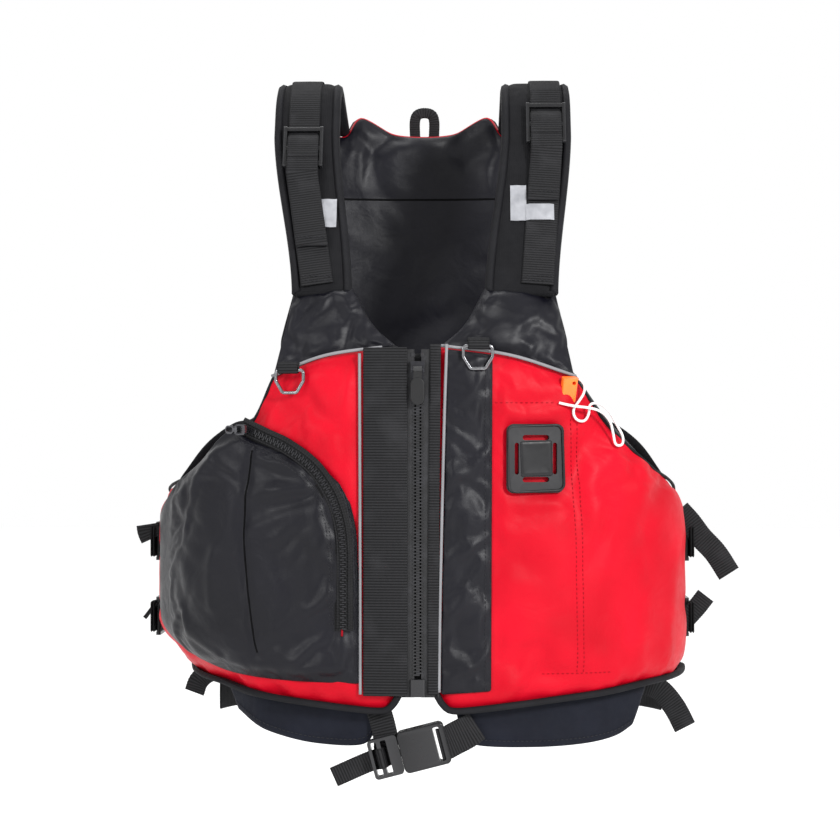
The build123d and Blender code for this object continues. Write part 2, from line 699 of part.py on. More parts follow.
def make_whistle():
    """Flat whistle with an air slot, a hollow and an eye for the cord."""
    width, depth = WHISTLE_SIZE
    plane = whistle_plane()
    face = Plane(plane.origin, x_dir=plane.x_dir, z_dir=-plane.y_dir)
    with BuildPart() as whistle:
        with BuildSketch(plane.offset(WHISTLE_LOW)):
            RectangleRounded(width, depth, 2)
        extrude(amount=WHISTLE_TOP - WHISTLE_LOW)
        with BuildSketch(plane.offset(WHISTLE_LOW)):
            Rectangle(width - 4, 2)
        extrude(amount=24, mode=Mode.SUBTRACT)
        with BuildSketch(face):
            with Locations((0, WHISTLE_LOW + 18)):
                Rectangle(width - 4, 4)
        extrude(amount=depth, mode=Mode.SUBTRACT)
        with BuildSketch(face):
            with Locations((2.6, WHISTLE_TOP - 3.4)):
                Circle(1.5)
        extrude(amount=depth, both=True, mode=Mode.SUBTRACT)
    save(whistle, "whistle")


def cord_point(x, z, proud):
    y, outward = plan_point(x)
    return Vector(x + outward[0] * proud, y + outward[1] * proud, z)


def make_whistle_cord():
    """Limp cord from the whistle's side: a small loop, a long loop and a bare end."""
    route = [cord_point(*place) for place in CORD_ROUTE]
    radii = []
    for before, corner, after in zip(route, route[1:], route[2:]):
        turn = math.radians((corner - before).get_angle(after - corner))
        shorter = min((corner - before).length, (after - corner).length)
        radii.append(0.45 * shorter / math.tan(turn / 2))
    print("whistle cord radii:", [round(radius, 1) for radius in radii])
    with BuildPart() as cord:
        with BuildLine() as path:
            FilletPolyline(*route, radius=radii)
        line = path.wires()[0]
        with BuildSketch(Plane(line @ 0, z_dir=line % 0)):
            Circle(CORD_DIAMETER / 2)
        sweep(path=line)
    expected = math.pi * (CORD_DIAMETER / 2) ** 2 * line.length
    print("whistle cord length", round(line.length, 1), "volume ratio", cord.part.volume / expected)
    save(cord, "whistle_cord")


# ---------------------------------------------------------------- back

def make_back():
    """Upper back panel with foam and lining, lower back and wings of mesh, hang loop."""
    with BuildSketch(Plane.XZ, mode=Mode.PRIVATE) as outline:
        with BuildLine():
            neckline = ThreePointArc((-56, 506), (0, 497), (56, 506))
            right = ThreePointArc((118, 495), (106, 405), (125, 318))
            left = ThreePointArc((-118, 495), (-106, 405), (-125, 318))
            Polyline(neckline @ 1, (63, 495), right @ 0)
            Polyline(neckline @ 0, (-63, 495), left @ 0)
            Polyline(right @ 1, (125, BACK_PANEL_LOW_Z), (-125, BACK_PANEL_LOW_Z), left @ 1)
        make_face()
    back_of_tray = -(FABRIC + BACK_FOAM + GAP)
    with BuildPart() as cover:
        add(layer(outline.sketch, BACK_Y, back_of_tray, 0, both_halves=True).part)
        inside = layer(shrunk(outline.sketch, FABRIC), BACK_Y, -REACH / 10, -FABRIC, both_halves=True)
        add(inside.part, mode=Mode.SUBTRACT)
        mirror(about=Plane.XZ, mode=Mode.REPLACE)
    save(cover, "back_cover")
    with BuildPart() as foam:
        core = shrunk(outline.sketch, FABRIC + GAP)
        add(layer(core, BACK_Y, back_of_tray + GAP, -FABRIC - GAP, both_halves=True).part)
        mirror(about=Plane.XZ, mode=Mode.REPLACE)
    save(foam, "back_foam")
    with BuildPart() as lining:
        low = back_of_tray - GAP - LINING
        add(layer(outline.sketch, BACK_Y, low, back_of_tray - GAP, both_halves=True).part)
        mirror(about=Plane.XZ, mode=Mode.REPLACE)
    save(lining, "back_lining")

    wing = [(126, 316), (149, 288), (170, 254), (191, 220), (203, 200), (REACH, 190), (REACH, HEM_Z)]
    mirrored = [(-x, z) for x, z in reversed(wing)]
    low_z = BACK_PANEL_LOW_Z - 1
    mesh_outline = outline_of(*wing, *mirrored, (-126, low_z), (126, low_z))
    with BuildPart() as mesh:
        add(layer(mesh_outline, BACK_Y, -3.2, -1.6, BACK_SIDE_END, both_halves=True).part)
        mirror(about=Plane.XZ, mode=Mode.REPLACE)
    save(mesh, "back_mesh")

    with BuildPart() as loop:
        with BuildSketch(Plane.XZ.offset(-(BACK_Y + 0.4))):
            with Locations((0, 505)):
                SlotOverall(44, 24, rotation=90)
                SlotOverall(30, 9, rotation=90, mode=Mode.SUBTRACT)
            with Locations((0, 483)):
                Rectangle(30, 18, mode=Mode.SUBTRACT)
        extrude(amount=-2.2)
    save(loop, "hang_loop")


# ---------------------------------------------------------------- waist buckle and webbing

def buckle_plane(height=0.0):
    """Plane of the waist buckle: x along the belt to the wearer's left, z to the front."""
    tilt = math.radians(BUCKLE_TILT)
    plane = Plane(origin=BUCKLE_CENTRE, x_dir=(math.cos(tilt), 0, math.sin(tilt)), z_dir=(0, -1, 0))
    return plane.offset(height)


def make_buckle():
    """Side-release buckle: hollow socket, ladder plug with a guide tongue, two spring arms."""
    half = BUCKLE_HALF_WIDTH
    with BuildPart() as socket:
        with BuildSketch(buckle_plane()):
            with Locations(((SOCKET_START + SOCKET_END) / 2, 0)):
                RectangleRounded(SOCKET_END - SOCKET_START, 2 * half, 4)
        extrude(amount=5.5, both=True)
        fillet(socket.edges().filter_by(GeomType.LINE).filter_by(Plane.XZ), 1.2)
        with BuildSketch(buckle_plane()):
            with Locations((SOCKET_START + 11, 0)):
                Rectangle(24, 2 * half - 5)
            with Locations((SOCKET_START + 14, 0)):
                Rectangle(13, 2 * half + 4)
        extrude(amount=3.3, both=True, mode=Mode.SUBTRACT)
        with BuildSketch(buckle_plane()):
            with Locations((21.8, 0)):
                RectangleRounded(5, 26, 1.5)
        extrude(amount=6, both=True, mode=Mode.SUBTRACT)
    save(socket, "waist_buckle_socket")

    with BuildPart() as plug:
        with BuildSketch(buckle_plane()):
            with Locations(((PLUG_END + SOCKET_START - 0.5) / 2, 0)):
                RectangleRounded(SOCKET_START - 0.5 - PLUG_END, 2 * half - 2, 3)
        extrude(amount=4.5, both=True)
        with BuildSketch(buckle_plane()):
            for along in (-26.5, -19.0):
                with Locations((along, 0)):
                    RectangleRounded(4.4, 26, 1)
        extrude(amount=6, both=True, mode=Mode.SUBTRACT)
        with BuildSketch(buckle_plane()):
            with Locations((0, 0)):
                Rectangle(20, 5)
        extrude(amount=2.4, both=True)
    save(plug, "waist_buckle_plug")

    for way, name in ((1, "waist_buckle_upper_arm"), (-1, "waist_buckle_lower_arm")):
        with BuildPart() as arm:
            with BuildSketch(buckle_plane()):
                with BuildLine():
                    Polyline(
                        (-8.1, way * 7.2), (11, way * 8.4), (11.5, way * 12.6), (7, way * 15.4),
                        (1, way * 15.6), (1, way * 11.4), (-8.1, way * 10), close=True,
                    )
                make_face()
            extrude(amount=2.6, both=True)
        save(arm, name)


def flat_piece(name, *points, depth_y, thickness=WEBBING):
    """Flat piece of webbing drawn in front view, its front face at depth_y."""
    with BuildPart() as piece:
        extrude(outline_of(*points).moved(Location((0, depth_y, 0))), amount=-thickness)
    save(piece, name)


def make_waist_webbing():
    flat_piece(
        "left_waist_webbing",
        (26.2, -3), (19.8, 21.6), (24, 28.4), (44, 28.4), (38, 8),
        depth_y=-134.0,
    )
    flat_piece(
        "right_waist_webbing",
        (-32, 25), (-16, 25), (-14, 8), (-30, -6), (-61, -23), (-66, -12), (-40, 4),
        depth_y=-127.1,
    )
    tails = {
        1: ((197, 31), (206, 32), (224, 5), (220, -5), (212, -2), (195, 20)),
        -1: ((-186, 45), (-199, 38), (-192, 20), (-183, 28)),
    }
    with BuildPart() as belt:
        belt_outline = outline_of((-REACH, 8), (REACH, 8), (REACH, 32), (-REACH, 32))
        add(layer(belt_outline, BACK_Y, -3.2, -1.6, BACK_SIDE_END, both_halves=True).part)
        mirror(about=Plane.XZ, mode=Mode.REPLACE)
        for side, points in tails.items():
            extrude(outline_of(*points).moved(Location((0, 22, 0))), amount=WEBBING)
    save(belt, "back_waist_belt")


def make_side_strap(side, level):
    """Side adjuster: anchor on the front half, lock, and the strap from the back wing."""
    name = f"{side_name(side)}_{level}_side"
    plane = side_plane(side, SIDE_STRAP_Z[level])
    make_lock(plane, f"{name}_lock")
    anchor = strip(plane, anchor_path(34))
    with BuildPart() as strap:
        add(strip(plane, tail_path(74, 22)).part)
        loose_end = outline_of(*SIDE_TAILS[side, level])
        extrude(loose_end.moved(Location((0, SIDE_TAIL_Y, 0))), amount=WEBBING)
    save(strap, f"{name}_strap")
    return anchor


def make_side_anchors(side, anchors):
    with BuildPart() as pair:
        for anchor in anchors:
            add(anchor.part)
    save(pair, f"{side_name(side)}_side_anchors")


def main():
    os.makedirs("parts", exist_ok=True)
    for side in (1, -1):
        make_front_half(side)
        make_waist_flap(side)
        make_yoke(side)
        make_shoulder_pad(side)
        make_shoulder_webbing(side)
        make_zip_chain(side)
        make_dring(side)
        make_side_anchors(side, [make_side_strap(side, level) for level in SIDE_STRAP_Z])
    make_reflectors()
    make_zip_slider()
    make_zip_pull()
    make_zip_box()
    make_zip_trim()
    make_lash_tab()
    make_pocket()
    make_whistle()
    make_whistle_cord()
    make_back()
    make_buckle()
    make_waist_webbing()


main()
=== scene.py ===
import math

import bpy
import numpy as np
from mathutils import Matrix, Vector
from mathutils.bvhtree import BVHTree


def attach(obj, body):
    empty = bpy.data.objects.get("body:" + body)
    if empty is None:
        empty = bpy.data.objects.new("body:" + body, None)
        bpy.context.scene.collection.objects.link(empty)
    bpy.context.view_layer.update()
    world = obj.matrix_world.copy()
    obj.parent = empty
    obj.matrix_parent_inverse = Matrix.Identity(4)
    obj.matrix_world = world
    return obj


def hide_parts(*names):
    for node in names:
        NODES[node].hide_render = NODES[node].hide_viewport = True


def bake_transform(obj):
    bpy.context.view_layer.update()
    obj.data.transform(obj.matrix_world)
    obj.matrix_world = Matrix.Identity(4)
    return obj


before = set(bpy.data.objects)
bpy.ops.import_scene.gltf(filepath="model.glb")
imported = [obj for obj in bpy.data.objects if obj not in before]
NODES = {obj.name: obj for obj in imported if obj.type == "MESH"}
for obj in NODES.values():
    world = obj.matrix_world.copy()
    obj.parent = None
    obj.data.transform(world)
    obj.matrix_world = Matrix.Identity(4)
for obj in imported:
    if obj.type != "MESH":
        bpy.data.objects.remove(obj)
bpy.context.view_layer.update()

# Lengths are millimetres, as in the CAD model; a piece is scaled to metres when it is made.
# +Z is up, -Y is the front, +X is the wearer's left.
MM = 0.001

# Plan curve of the outer fabric: a shallow arc over the chest, then a tight arc round the side
FACE_R = 380.0
SIDE_R = 125.0
FRONT_Y = -135.0
BACK_Y = 130.0
TURN = math.radians(20)
TURN_S = FACE_R * TURN
SPREAD = FACE_R - SIDE_R
FRONT_END_S = TURN_S + SIDE_R * math.radians(71.5)
WING_END_S = TURN_S + SIDE_R * math.radians(46)

# Levels and corners of the front halves, wearer's left and right
HEM_Z = 34.0
YOKE_LOW_Z = 282.0
STRAP_BASE_Z = 352.0
SEAM_END = {1: (120.0, 283.0), -1: (112.0, 283.0)}
ARMHOLE_MID = {1: (150.0, 244.0), -1: (134.0, 243.0)}
ARMHOLE_LOW = {1: (190.0, 210.0), -1: (186.0, 205.0)}
SIDE_TOP_Z = 190.0
HEM_TAPER = {1: 0.0, -1: 0.15}
PANEL_DEPTH = 30.5
EDGE_DROP = 6.0

# Shoulder straps in side view: two straight runs joined by an arc over the shoulder
SLOPE = math.radians(65)
BACK_FALL = math.radians(-13)
SHOULDER_Y = 16.0
SHOULDER_Z = 476.0
SHOULDER_R = 51.0
PAD_THICKNESS = 12.0
STRAP_RUN = (SHOULDER_Z + SHOULDER_R * math.cos(SLOPE) - STRAP_BASE_Z) / math.sin(SLOPE)
STRAP_ARC = SHOULDER_R * (SLOPE - BACK_FALL)
STRAP_END_T = STRAP_RUN + STRAP_ARC + 86

# Webbing and hardware
WEBBING_WIDTH = 25.0
WEBBING = 1.6
RIB_PITCH = 2.1
STRAP_X = {1: 100.0, -1: 93.0}
STRAP_FOOT_X = {1: (52.0, 106.0), -1: (53.0, 97.0)}
STRAP_FULL_X = {1: (66.0, 119.0), -1: (66.0, 116.0)}
WEBBING_FOOT_X = {1: 91.0, -1: 78.0}
SHOULDER_LOCK_Z = {1: 471.0, -1: 451.0}
SHOULDER_TAIL = {1: 56.0, -1: 75.0}
SIDE_STRAP_X = 214.0
SIDE_LOCK_Y = 16.0
SIDE_LOCK_Z = {"upper": 150.0, "lower": 88.0}
RING_PLACES = {1: (45.0, 305.5), -1: (-97.0, 287.5)}
RING_PROUD = 4.7
BUCKLE = Vector((-5.0, -133.0, 2.0))
BUCKLE_TILT = math.radians(14.5)
LASH_X = 88.0
LASH_Z = 221.0

# Seams, as front-view (x, z) points: the yoke seam up to SEAM_END, and the sewn rows on the left front
# with the depth and width of the groove that each one pulls
YOKE_SEAM = ((17, 305.5), (70, 298.5))
LEFT_GROOVES = (
    (((116, 250), (120, 170), (123, 60)), 2.0, 5.0),
    (((59, 263), (101, 263)), 1.2, 3.5),
    (((95, 58), (144, 58)), 1.0, 3.5),
)
DOUBLE_SEAM = ((115.5, 250), (117.5, 170), (119.5, 60))
GUSSET_SPREAD = {1: 11.0, -1: 7.0}
GUSSET_LOW_Z = {1: 180.0, -1: 232.0}

# Pocket: its zip, its dart, the folds that run in from the bend of the zip, and its outer gathers
POCKET_ZIP = ((133, 245.5), (115, 237), (98, 229), (78, 214), (64, 194), (57, 172), (54.6, 150),
              (54.5, 120), (54.5, 92))
POCKET_DART = ((123, 227), (128, 180), (128, 143), (120, 74))
POCKET_FOLDS = (
    ((68, 186), (92, 180), (122, 167)), ((72, 181), (88, 172), (106, 159)),
    ((77, 171), (86, 160), (95, 146)), ((83, 197), (104, 196), (122, 192)),
    ((66, 160), (68, 150), (67, 141)), ((66, 120), (74, 112), (80, 108)),
    ((73, 84), (82, 78), (90, 70)), ((152, 226), (166, 200), (176, 165)),
    ((150, 150), (152, 130), (151, 108)), ((176, 100), (170, 84), (156, 72)),
)
POCKET_RISE = 8.0
POCKET_END_S = 262.0
POCKET_FREE_S = 215.0

# Back: grid of the padded panel, its depth, its seams and the mesh below it
BACK_GRID = (46, 58)
BACK_LOW_Z = 216.0
BACK_DEPTH = 26.0
LINING_SEAM_Z = 441.0
LOWER_SEAM_Z = 330.0
MESH_PROUD = -2.4
MESH_CELL = 4.4
BELT_Z = 20.0


def side_name(side):
    return "left" if side > 0 else "right"


# ------------------------------------------------------------------ camera, light, floor

def make_camera():
    distance = 1.635
    azimuth = math.radians(1.2)
    data = bpy.data.cameras.new("camera")
    data.lens = 85.7
    data.sensor_width = 36.0
    camera = bpy.data.objects.new("camera", data)
    camera.location = (distance * math.sin(azimuth) - 0.0012, -distance * math.cos(azimuth), 0.25)
    camera.rotation_euler = (math.radians(90), 0, azimuth)
    bpy.context.collection.objects.link(camera)
    bpy.context.scene.camera = camera


def area_light(name, place, size, power, target=(0, 0, 0.25)):
    data = bpy.data.lights.new(name, "AREA")
    data.shape = "RECTANGLE"
    data.size, data.size_y = size
    data.energy = power
    light = bpy.data.objects.new(name, data)
    light.location = place
    light.rotation_euler = (Vector(target) - Vector(place)).to_track_quat("-Z", "Y").to_euler()
    bpy.context.collection.objects.link(light)


def make_studio():
    world = bpy.data.worlds.new("studio")
    bpy.context.scene.world = world
    world.use_nodes = True
    background = world.node_tree.nodes["Background"]
    background.inputs["Color"].default_value = (1, 1, 1, 1)
    background.inputs["Strength"].default_value = 1.0
    area_light("key", (1.2, -1.75, 1.05), (0.3, 0.4), 46)
    area_light("fill", (-1.3, -1.5, 0.9), (0.25, 0.9), 13)
    area_light("top", (-0.2, 0.1, 1.8), (1.0, 0.6), 10)
    bpy.context.scene.view_settings.view_transform = "Standard"
    reach = 6.0
    level = -0.16
    mesh = bpy.data.meshes.new("floor")
    corners = [(x * reach, y * reach, level) for x, y in ((-1, -1), (1, -1), (1, 1), (-1, 1))]
    mesh.from_pydata(corners, [], [(0, 1, 2, 3)])
    floor = bpy.data.objects.new("floor", mesh)
    bpy.context.collection.objects.link(floor)
    look = Look("floor", (0.995, 0.995, 0.995), 0.9)
    mesh.materials.append(look.material)


# ------------------------------------------------------------------ materials

class Look:
    """Node-based material built up from a few shared steps."""

    def __init__(self, name, colour, rough, **constants):
        self.material = bpy.data.materials.new(name)
        self.material.use_nodes = True
        self.tree = self.material.node_tree
        self.shader = self.tree.nodes["Principled BSDF"]
        self.shader.inputs["Base Color"].default_value = (*colour, 1)
        self.shader.inputs["Roughness"].default_value = rough
        for socket, value in constants.items():
            self.shader.inputs[socket.replace("_", " ")].default_value = value
        self.colour = (*colour, 1)
        self.normal = None

    def node(self, kind, settings=None, **inputs):
        made = self.tree.nodes.new(kind)
        for key, value in (settings or {}).items():
            setattr(made, key, value)
        for key, value in inputs.items():
            numbered = key[0] == "i" and key[1:].isdigit()
            socket = made.inputs[int(key[1:]) if numbered else key]
            if isinstance(value, bpy.types.NodeSocket):
                self.tree.links.new(value, socket)
            else:
                socket.default_value = value
        return made

    def coordinates(self, flat=True):
        """Millimetres: over the cloth where the piece has a flat map, else in space."""
        source = self.node("ShaderNodeTexCoord").outputs["UV" if flat else "Object"]
        scaled = self.node("ShaderNodeVectorMath", {"operation": "SCALE"}, Vector=source, Scale=1 / MM)
        return scaled.outputs[0]

    def noise(self, place, size, detail=3.0, rough=0.5, distort=0.0):
        made = self.node("ShaderNodeTexNoise", Vector=place, Scale=1 / size, Detail=detail,
                         Roughness=rough, Distortion=distort)
        return made.outputs[0]

    def bands(self, place, direction, pitch, distort=0.0):
        settings = {"bands_direction": direction}
        made = self.node("ShaderNodeTexWave", settings, Vector=place, Scale=math.tau / (20 * pitch),
                         Distortion=distort, Detail=1.0)
        return made.outputs["Fac"]

    def math(self, operation, first, second):
        return self.node("ShaderNodeMath", {"operation": operation}, i0=first, i1=second).outputs[0]

    def ranged(self, value, low, high, start=0.0, end=1.0):
        made = self.node("ShaderNodeMapRange", i0=value, i1=start, i2=end, i3=low, i4=high)
        return made.outputs[0]

    def vary(self, value, other, start=0.3, end=0.7):
        """Mixes the colour so far towards another where value is high."""
        share = self.ranged(value, 0.0, 1.0, start, end)
        settings = {"data_type": "RGBA"}
        mix = self.node("ShaderNodeMix", settings, i0=share, i6=self.colour, i7=(*other, 1))
        self.colour = mix.outputs[2]
        self.tree.links.new(self.colour, self.shader.inputs["Base Color"])
        return self

    def roughen(self, value, low, high):
        self.tree.links.new(self.ranged(value, low, high, 0.3, 0.7), self.shader.inputs["Roughness"])
        return self

    def bump(self, height, depth, strength=1.0):
        """Adds relief of the given depth in millimetres."""
        inputs = {"Height": height, "Distance": depth * MM, "Strength": strength}
        if self.normal:
            inputs["Normal"] = self.normal
        self.normal = self.node("ShaderNodeBump", **inputs).outputs[0]
        self.tree.links.new(self.normal, self.shader.inputs["Normal"])
        return self


def toned(colour, factor):
    return tuple(factor * part for part in colour)


def nylon(name, colour, shade, rough, shine=0.2):
    """Plain-woven coated nylon: fine weave, small creases, uneven dye and sheen."""
    look = Look(name, colour, rough, Specular_IOR_Level=shine)
    place = look.coordinates()
    weave = look.math("MULTIPLY", look.bands(place, "X", 0.55), look.bands(place, "Y", 0.55))
    crease = look.noise(place, 9, 4, 0.6, 0.8)
    look.vary(look.noise(place, 60, 2), shade)
    look.vary(look.math("MULTIPLY", weave, crease), toned(shade, 0.8), 0.3, 1.0)
    look.roughen(crease, rough - 0.05, rough + 0.08)
    look.bump(crease, 0.5, 0.35)
    look.bump(look.noise(place, 32, 2, 0.5, 1.5), 2.2, 0.35)
    look.bump(weave, 0.06, 0.6)
    return look.material


def webbing_look(name, colour, yarn_tone_and_groove_shade):
    """Ribbed webbing: dull yarn with painted shade in the grooves between ribs, a fine twill and a little
    fuzz.
    """
    look = Look(name, colour, 0.55, Specular_IOR_Level=0.16)
    place = look.coordinates()
    yarn = look.bands(place, "X", 0.9, 0.6)
    fuzz = look.noise(place, 1.2, 3, 0.7)
    # Painted shade: bands at the rib pitch darken the grooves between ribs; the same dark colour also tints
    # the twill yarn below.
    look.vary(look.bands(place, "Y", RIB_PITCH), yarn_tone_and_groove_shade, 0.75, 0.2)
    look.vary(yarn, yarn_tone_and_groove_shade, 0.5, 1.4)
    look.vary(look.noise(place, 35, 3), toned(colour, 1.5), 0.5, 0.9)
    look.roughen(fuzz, 0.55, 0.75)
    look.bump(yarn, 0.12, 0.6)
    look.bump(fuzz, 0.1, 0.5)
    return look.material


def knit(name, colour, shade, pitch, rough):
    """Knitted or spacer face cloth: rows of small loops."""
    look = Look(name, colour, rough, Specular_IOR_Level=0.1)
    place = look.coordinates()
    courses = look.bands(place, "Y", pitch * 0.8, 0.8)
    loops = look.math("MULTIPLY", look.bands(place, "X", pitch, 0.8), courses)
    look.vary(loops, shade, 0.2, 0.9)
    look.vary(look.noise(place, 40, 3), toned(colour, 1.35), 0.45, 0.8)
    look.roughen(look.noise(place, 6), rough - 0.05, rough + 0.08)
    look.bump(look.noise(place, 14, 3, 0.6, 0.5), 0.6, 0.35)
    look.bump(loops, 0.16, 0.6)
    return look.material


def plastic(name, colour, rough, shine=0.0, flat=False):
    """Moulded plastic: faint grain, scuffs, and edges rubbed paler."""
    look = Look(name, colour, rough, Specular_IOR_Level=0.25, Coat_Weight=shine, Coat_Roughness=0.15)
    place = look.coordinates(flat)
    edge = look.node("ShaderNodeNewGeometry").outputs["Pointiness"]
    look.vary(look.noise(place, 14, 4, 0.6), toned(colour, 0.8))
    look.vary(edge, tuple(min(1.0, 1.6 * part + 0.01) for part in colour), 0.52, 0.62)
    look.roughen(look.noise(place, 5, 4, 0.7), rough - 0.07, rough + 0.1)
    look.bump(look.noise(place, 0.5, 2), 0.03, 0.5)
    return look.material


def metal(name, colour, rough, flat=False):
    """Plated metal with fine rubbing marks and duller patches."""
    look = Look(name, colour, rough, Metallic=1.0)
    place = look.coordinates(flat)
    look.vary(look.noise(place, 6, 4, 0.7), toned(colour, 0.72))
    look.roughen(look.noise(place, 2.5, 5, 0.7), rough - 0.06, rough + 0.14)
    look.bump(look.noise(place, 0.8, 3, 0.6), 0.02, 0.4)
    return look.material


def reflective():
    """Silver reflective tape: glass beads over a fine pressed lattice."""
    look = Look("reflective", (0.25, 0.255, 0.272), 0.33, Metallic=0.5)
    place = look.coordinates()
    beads = look.node("ShaderNodeTexVoronoi", Vector=place, Scale=2.2).outputs["Distance"]
    look.vary(beads, (0.25, 0.255, 0.28), 0.3, 0.9)
    look.vary(look.noise(place, 10, 3), (0.38, 0.385, 0.41))
    look.roughen(look.noise(place, 7), 0.3, 0.46)
    look.bump(beads, 0.05, 0.5)
    look.bump(look.noise(place, 8, 2), 0.5, 0.3)
    return look.material


def zip_look():
    """Zip seen in space: woven tape at the sides, moulded teeth along the middle."""
    look = Look("zip", (0.012, 0.012, 0.013), 0.55, Specular_IOR_Level=0.3)
    place = look.coordinates(False)
    split = look.node("ShaderNodeSeparateXYZ", Vector=place).outputs
    away = look.math("ABSOLUTE", split[0], 0.0)
    tape = look.ranged(away, 0.0, 1.0, 3.8, 4.2)
    twill = look.math("MULTIPLY", look.bands(place, "Z", 0.9), look.bands(place, "X", 1.1, 0.5))
    woven = look.math("MULTIPLY", twill, tape)
    look.vary(woven, (0.012, 0.012, 0.013), 0.1, 0.9)
    look.vary(look.noise(place, 9, 3), (0.022, 0.022, 0.025), 0.45, 0.8)
    look.tree.links.new(look.ranged(tape, 0.32, 0.72), look.shader.inputs["Roughness"])
    look.bump(woven, 0.15, 0.6)
    return look.material


def braid():
    """White braided cord: crossing strands with slight soiling."""
    look = Look("white_cord", (0.60, 0.59, 0.58), 0.7)
    place = look.coordinates(False)
    turns = look.bands(place, "Z", 0.8, 0.5)
    strands = look.math("MULTIPLY", look.bands(place, "DIAGONAL", 0.9, 0.5), turns)
    look.vary(strands, (0.38, 0.37, 0.36), 0.2, 0.9)
    look.vary(look.noise(place, 12, 3), (0.68, 0.67, 0.66))
    look.roughen(look.noise(place, 3), 0.62, 0.8)
    look.bump(strands, 0.15, 0.8)
    return look.material


def make_looks():
    return {
        "red": nylon("red_nylon", (0.47, 0.002, 0.013), (0.36, 0.001, 0.008), 0.42, 0.09),
        "black": nylon("black_nylon", (0.0035, 0.0034, 0.0065), (0.002, 0.002, 0.004), 0.37),
        "gusset": nylon("gusset_nylon", (0.0035, 0.0035, 0.0045), (0.002, 0.002, 0.003), 0.5),
        "piping": nylon("grey_piping", (0.21, 0.21, 0.22), (0.15, 0.15, 0.16), 0.5),
        "webbing": webbing_look("black_webbing", (0.015, 0.015, 0.0165), (0.0015, 0.0015, 0.002)),
        "spacer": knit("strap_fabric", (0.0055, 0.0055, 0.0065), (0.002, 0.002, 0.0025), 1.4, 0.7),
        "binding": knit("binding_tape", (0.008, 0.008, 0.0095), (0.003, 0.003, 0.0035), 0.8, 0.6),
        "neoprene": knit("neoprene", (0.006, 0.007, 0.012), (0.0035, 0.004, 0.007), 0.7, 0.62),
        "mesh": knit("mesh", (0.006, 0.006, 0.007), (0.003, 0.003, 0.0035), 0.6, 0.6),
        "thread": knit("dark_thread", (0.022, 0.022, 0.025), (0.01, 0.01, 0.012), 0.5, 0.55),
        "red_thread": knit("red_thread", (0.26, 0.0025, 0.009), (0.16, 0.001, 0.005), 0.5, 0.6),
        # Painted shade: near-black, dull cloth for tubes that stand in for the shadow in seam grooves.
        "seam": knit("seam_shade", (0.0012, 0.0012, 0.0015), (0.0006, 0.0006, 0.0008), 0.6, 0.9),
        "reflective": reflective(),
        "zip": zip_look(),
        "teeth": plastic("zip_teeth", (0.010, 0.010, 0.012), 0.3, 0.2, flat=True),
        "zip_tape": webbing_look("zip_tape", (0.010, 0.010, 0.011), (0.004, 0.004, 0.0045)),
        "zip_metal": metal("zip_metal", (0.045, 0.045, 0.05), 0.35),
        "pull_metal": metal("zip_metal_bright", (0.13, 0.13, 0.14), 0.22),
        "grip": plastic("rubber_pull", (0.008, 0.008, 0.0085), 0.5),
        "ring": metal("ring_metal", (0.21, 0.21, 0.22), 0.2),
        "plastic_solid": plastic("black_plastic", (0.0065, 0.0065, 0.0075), 0.3, 0.1),
        "rubber_solid": plastic("lash_rubber", (0.006, 0.006, 0.007), 0.42),
        "rubber": plastic("lash_rubber_rim", (0.006, 0.006, 0.007), 0.4),
        "orange": plastic("whistle_plastic", (0.62, 0.095, 0.004), 0.3, 0.3),
        "cord": braid(),
    }


# ------------------------------------------------------------------ curves and surfaces

def along(x):
    """Girth from the middle of the plan curve to x."""
    if abs(x) <= FACE_R * math.sin(TURN):
        return FACE_R * math.asin(x / FACE_R)
    share = min(1.0, (abs(x) - SPREAD * math.sin(TURN)) / SIDE_R)
    return math.copysign(TURN_S + SIDE_R * (math.asin(share) - TURN), x)


def on_front(s, z, proud=0.0, back=False):
    """Point on the plan curve at girth s, standing proud of the outer fabric."""
    if abs(s) <= TURN_S:
        angle, radius, centre_x, centre_d = abs(s) / FACE_R, FACE_R, 0.0, FACE_R
    else:
        angle = TURN + (abs(s) - TURN_S) / SIDE_R
        radius, centre_x, centre_d = SIDE_R, SPREAD * math.sin(TURN), FACE_R - SPREAD * math.cos(TURN)
    x = math.copysign(centre_x + (radius + proud) * math.sin(angle), s)
    x *= 1 - HEM_TAPER[1 if s > 0 else -1] * gentle((92 - z) / 55) * gentle((abs(x) - 90) / 90)
    depth = centre_d - (radius + proud) * math.cos(angle)
    return Vector((x, BACK_Y - depth if back else FRONT_Y + depth, z))


def on_back(s, z, proud=0.0):
    return on_front(s, z, proud, back=True)


def on_yoke(s, z, proud=0.0):
    """The plan curve carried back up the slope of the shoulder."""
    point = on_front(s, z, proud)
    point.y += max(0.0, z - YOKE_LOW_Z) / math.tan(SLOPE)
    return point


def on_strap(x, t, height=0.0):
    """Point at distance t up the shoulder strap's upper face from its foot."""
    centre = Vector((x, SHOULDER_Y, SHOULDER_Z))
    if t <= STRAP_RUN:
        out = Vector((0, -math.sin(SLOPE), math.cos(SLOPE)))
        tangent = Vector((0, math.cos(SLOPE), math.sin(SLOPE)))
        return centre + out * (SHOULDER_R + height) + tangent * (t - STRAP_RUN)
    angle = SLOPE - min(t - STRAP_RUN, STRAP_ARC) / SHOULDER_R
    out = Vector((0, -math.sin(angle), math.cos(angle)))
    past = max(0.0, t - STRAP_RUN - STRAP_ARC)
    tangent = Vector((0, math.cos(BACK_FALL), math.sin(BACK_FALL)))
    return centre + out * (SHOULDER_R + height) + tangent * past


def resample(points, count, values=None):
    """Points spaced evenly along a line, or values that go with its points spread the same way."""
    points = np.array(points, float)
    values = points if values is None else np.array(values, float)
    steps = np.r_[0, np.cumsum(np.linalg.norm(np.diff(points, axis=0), axis=1))]
    want = np.linspace(0, steps[-1], count)
    return np.column_stack([np.interp(want, steps, column) for column in values.T])


def spaced(points, count, values=None):
    return [Vector(point) for point in resample(points, count, values)]


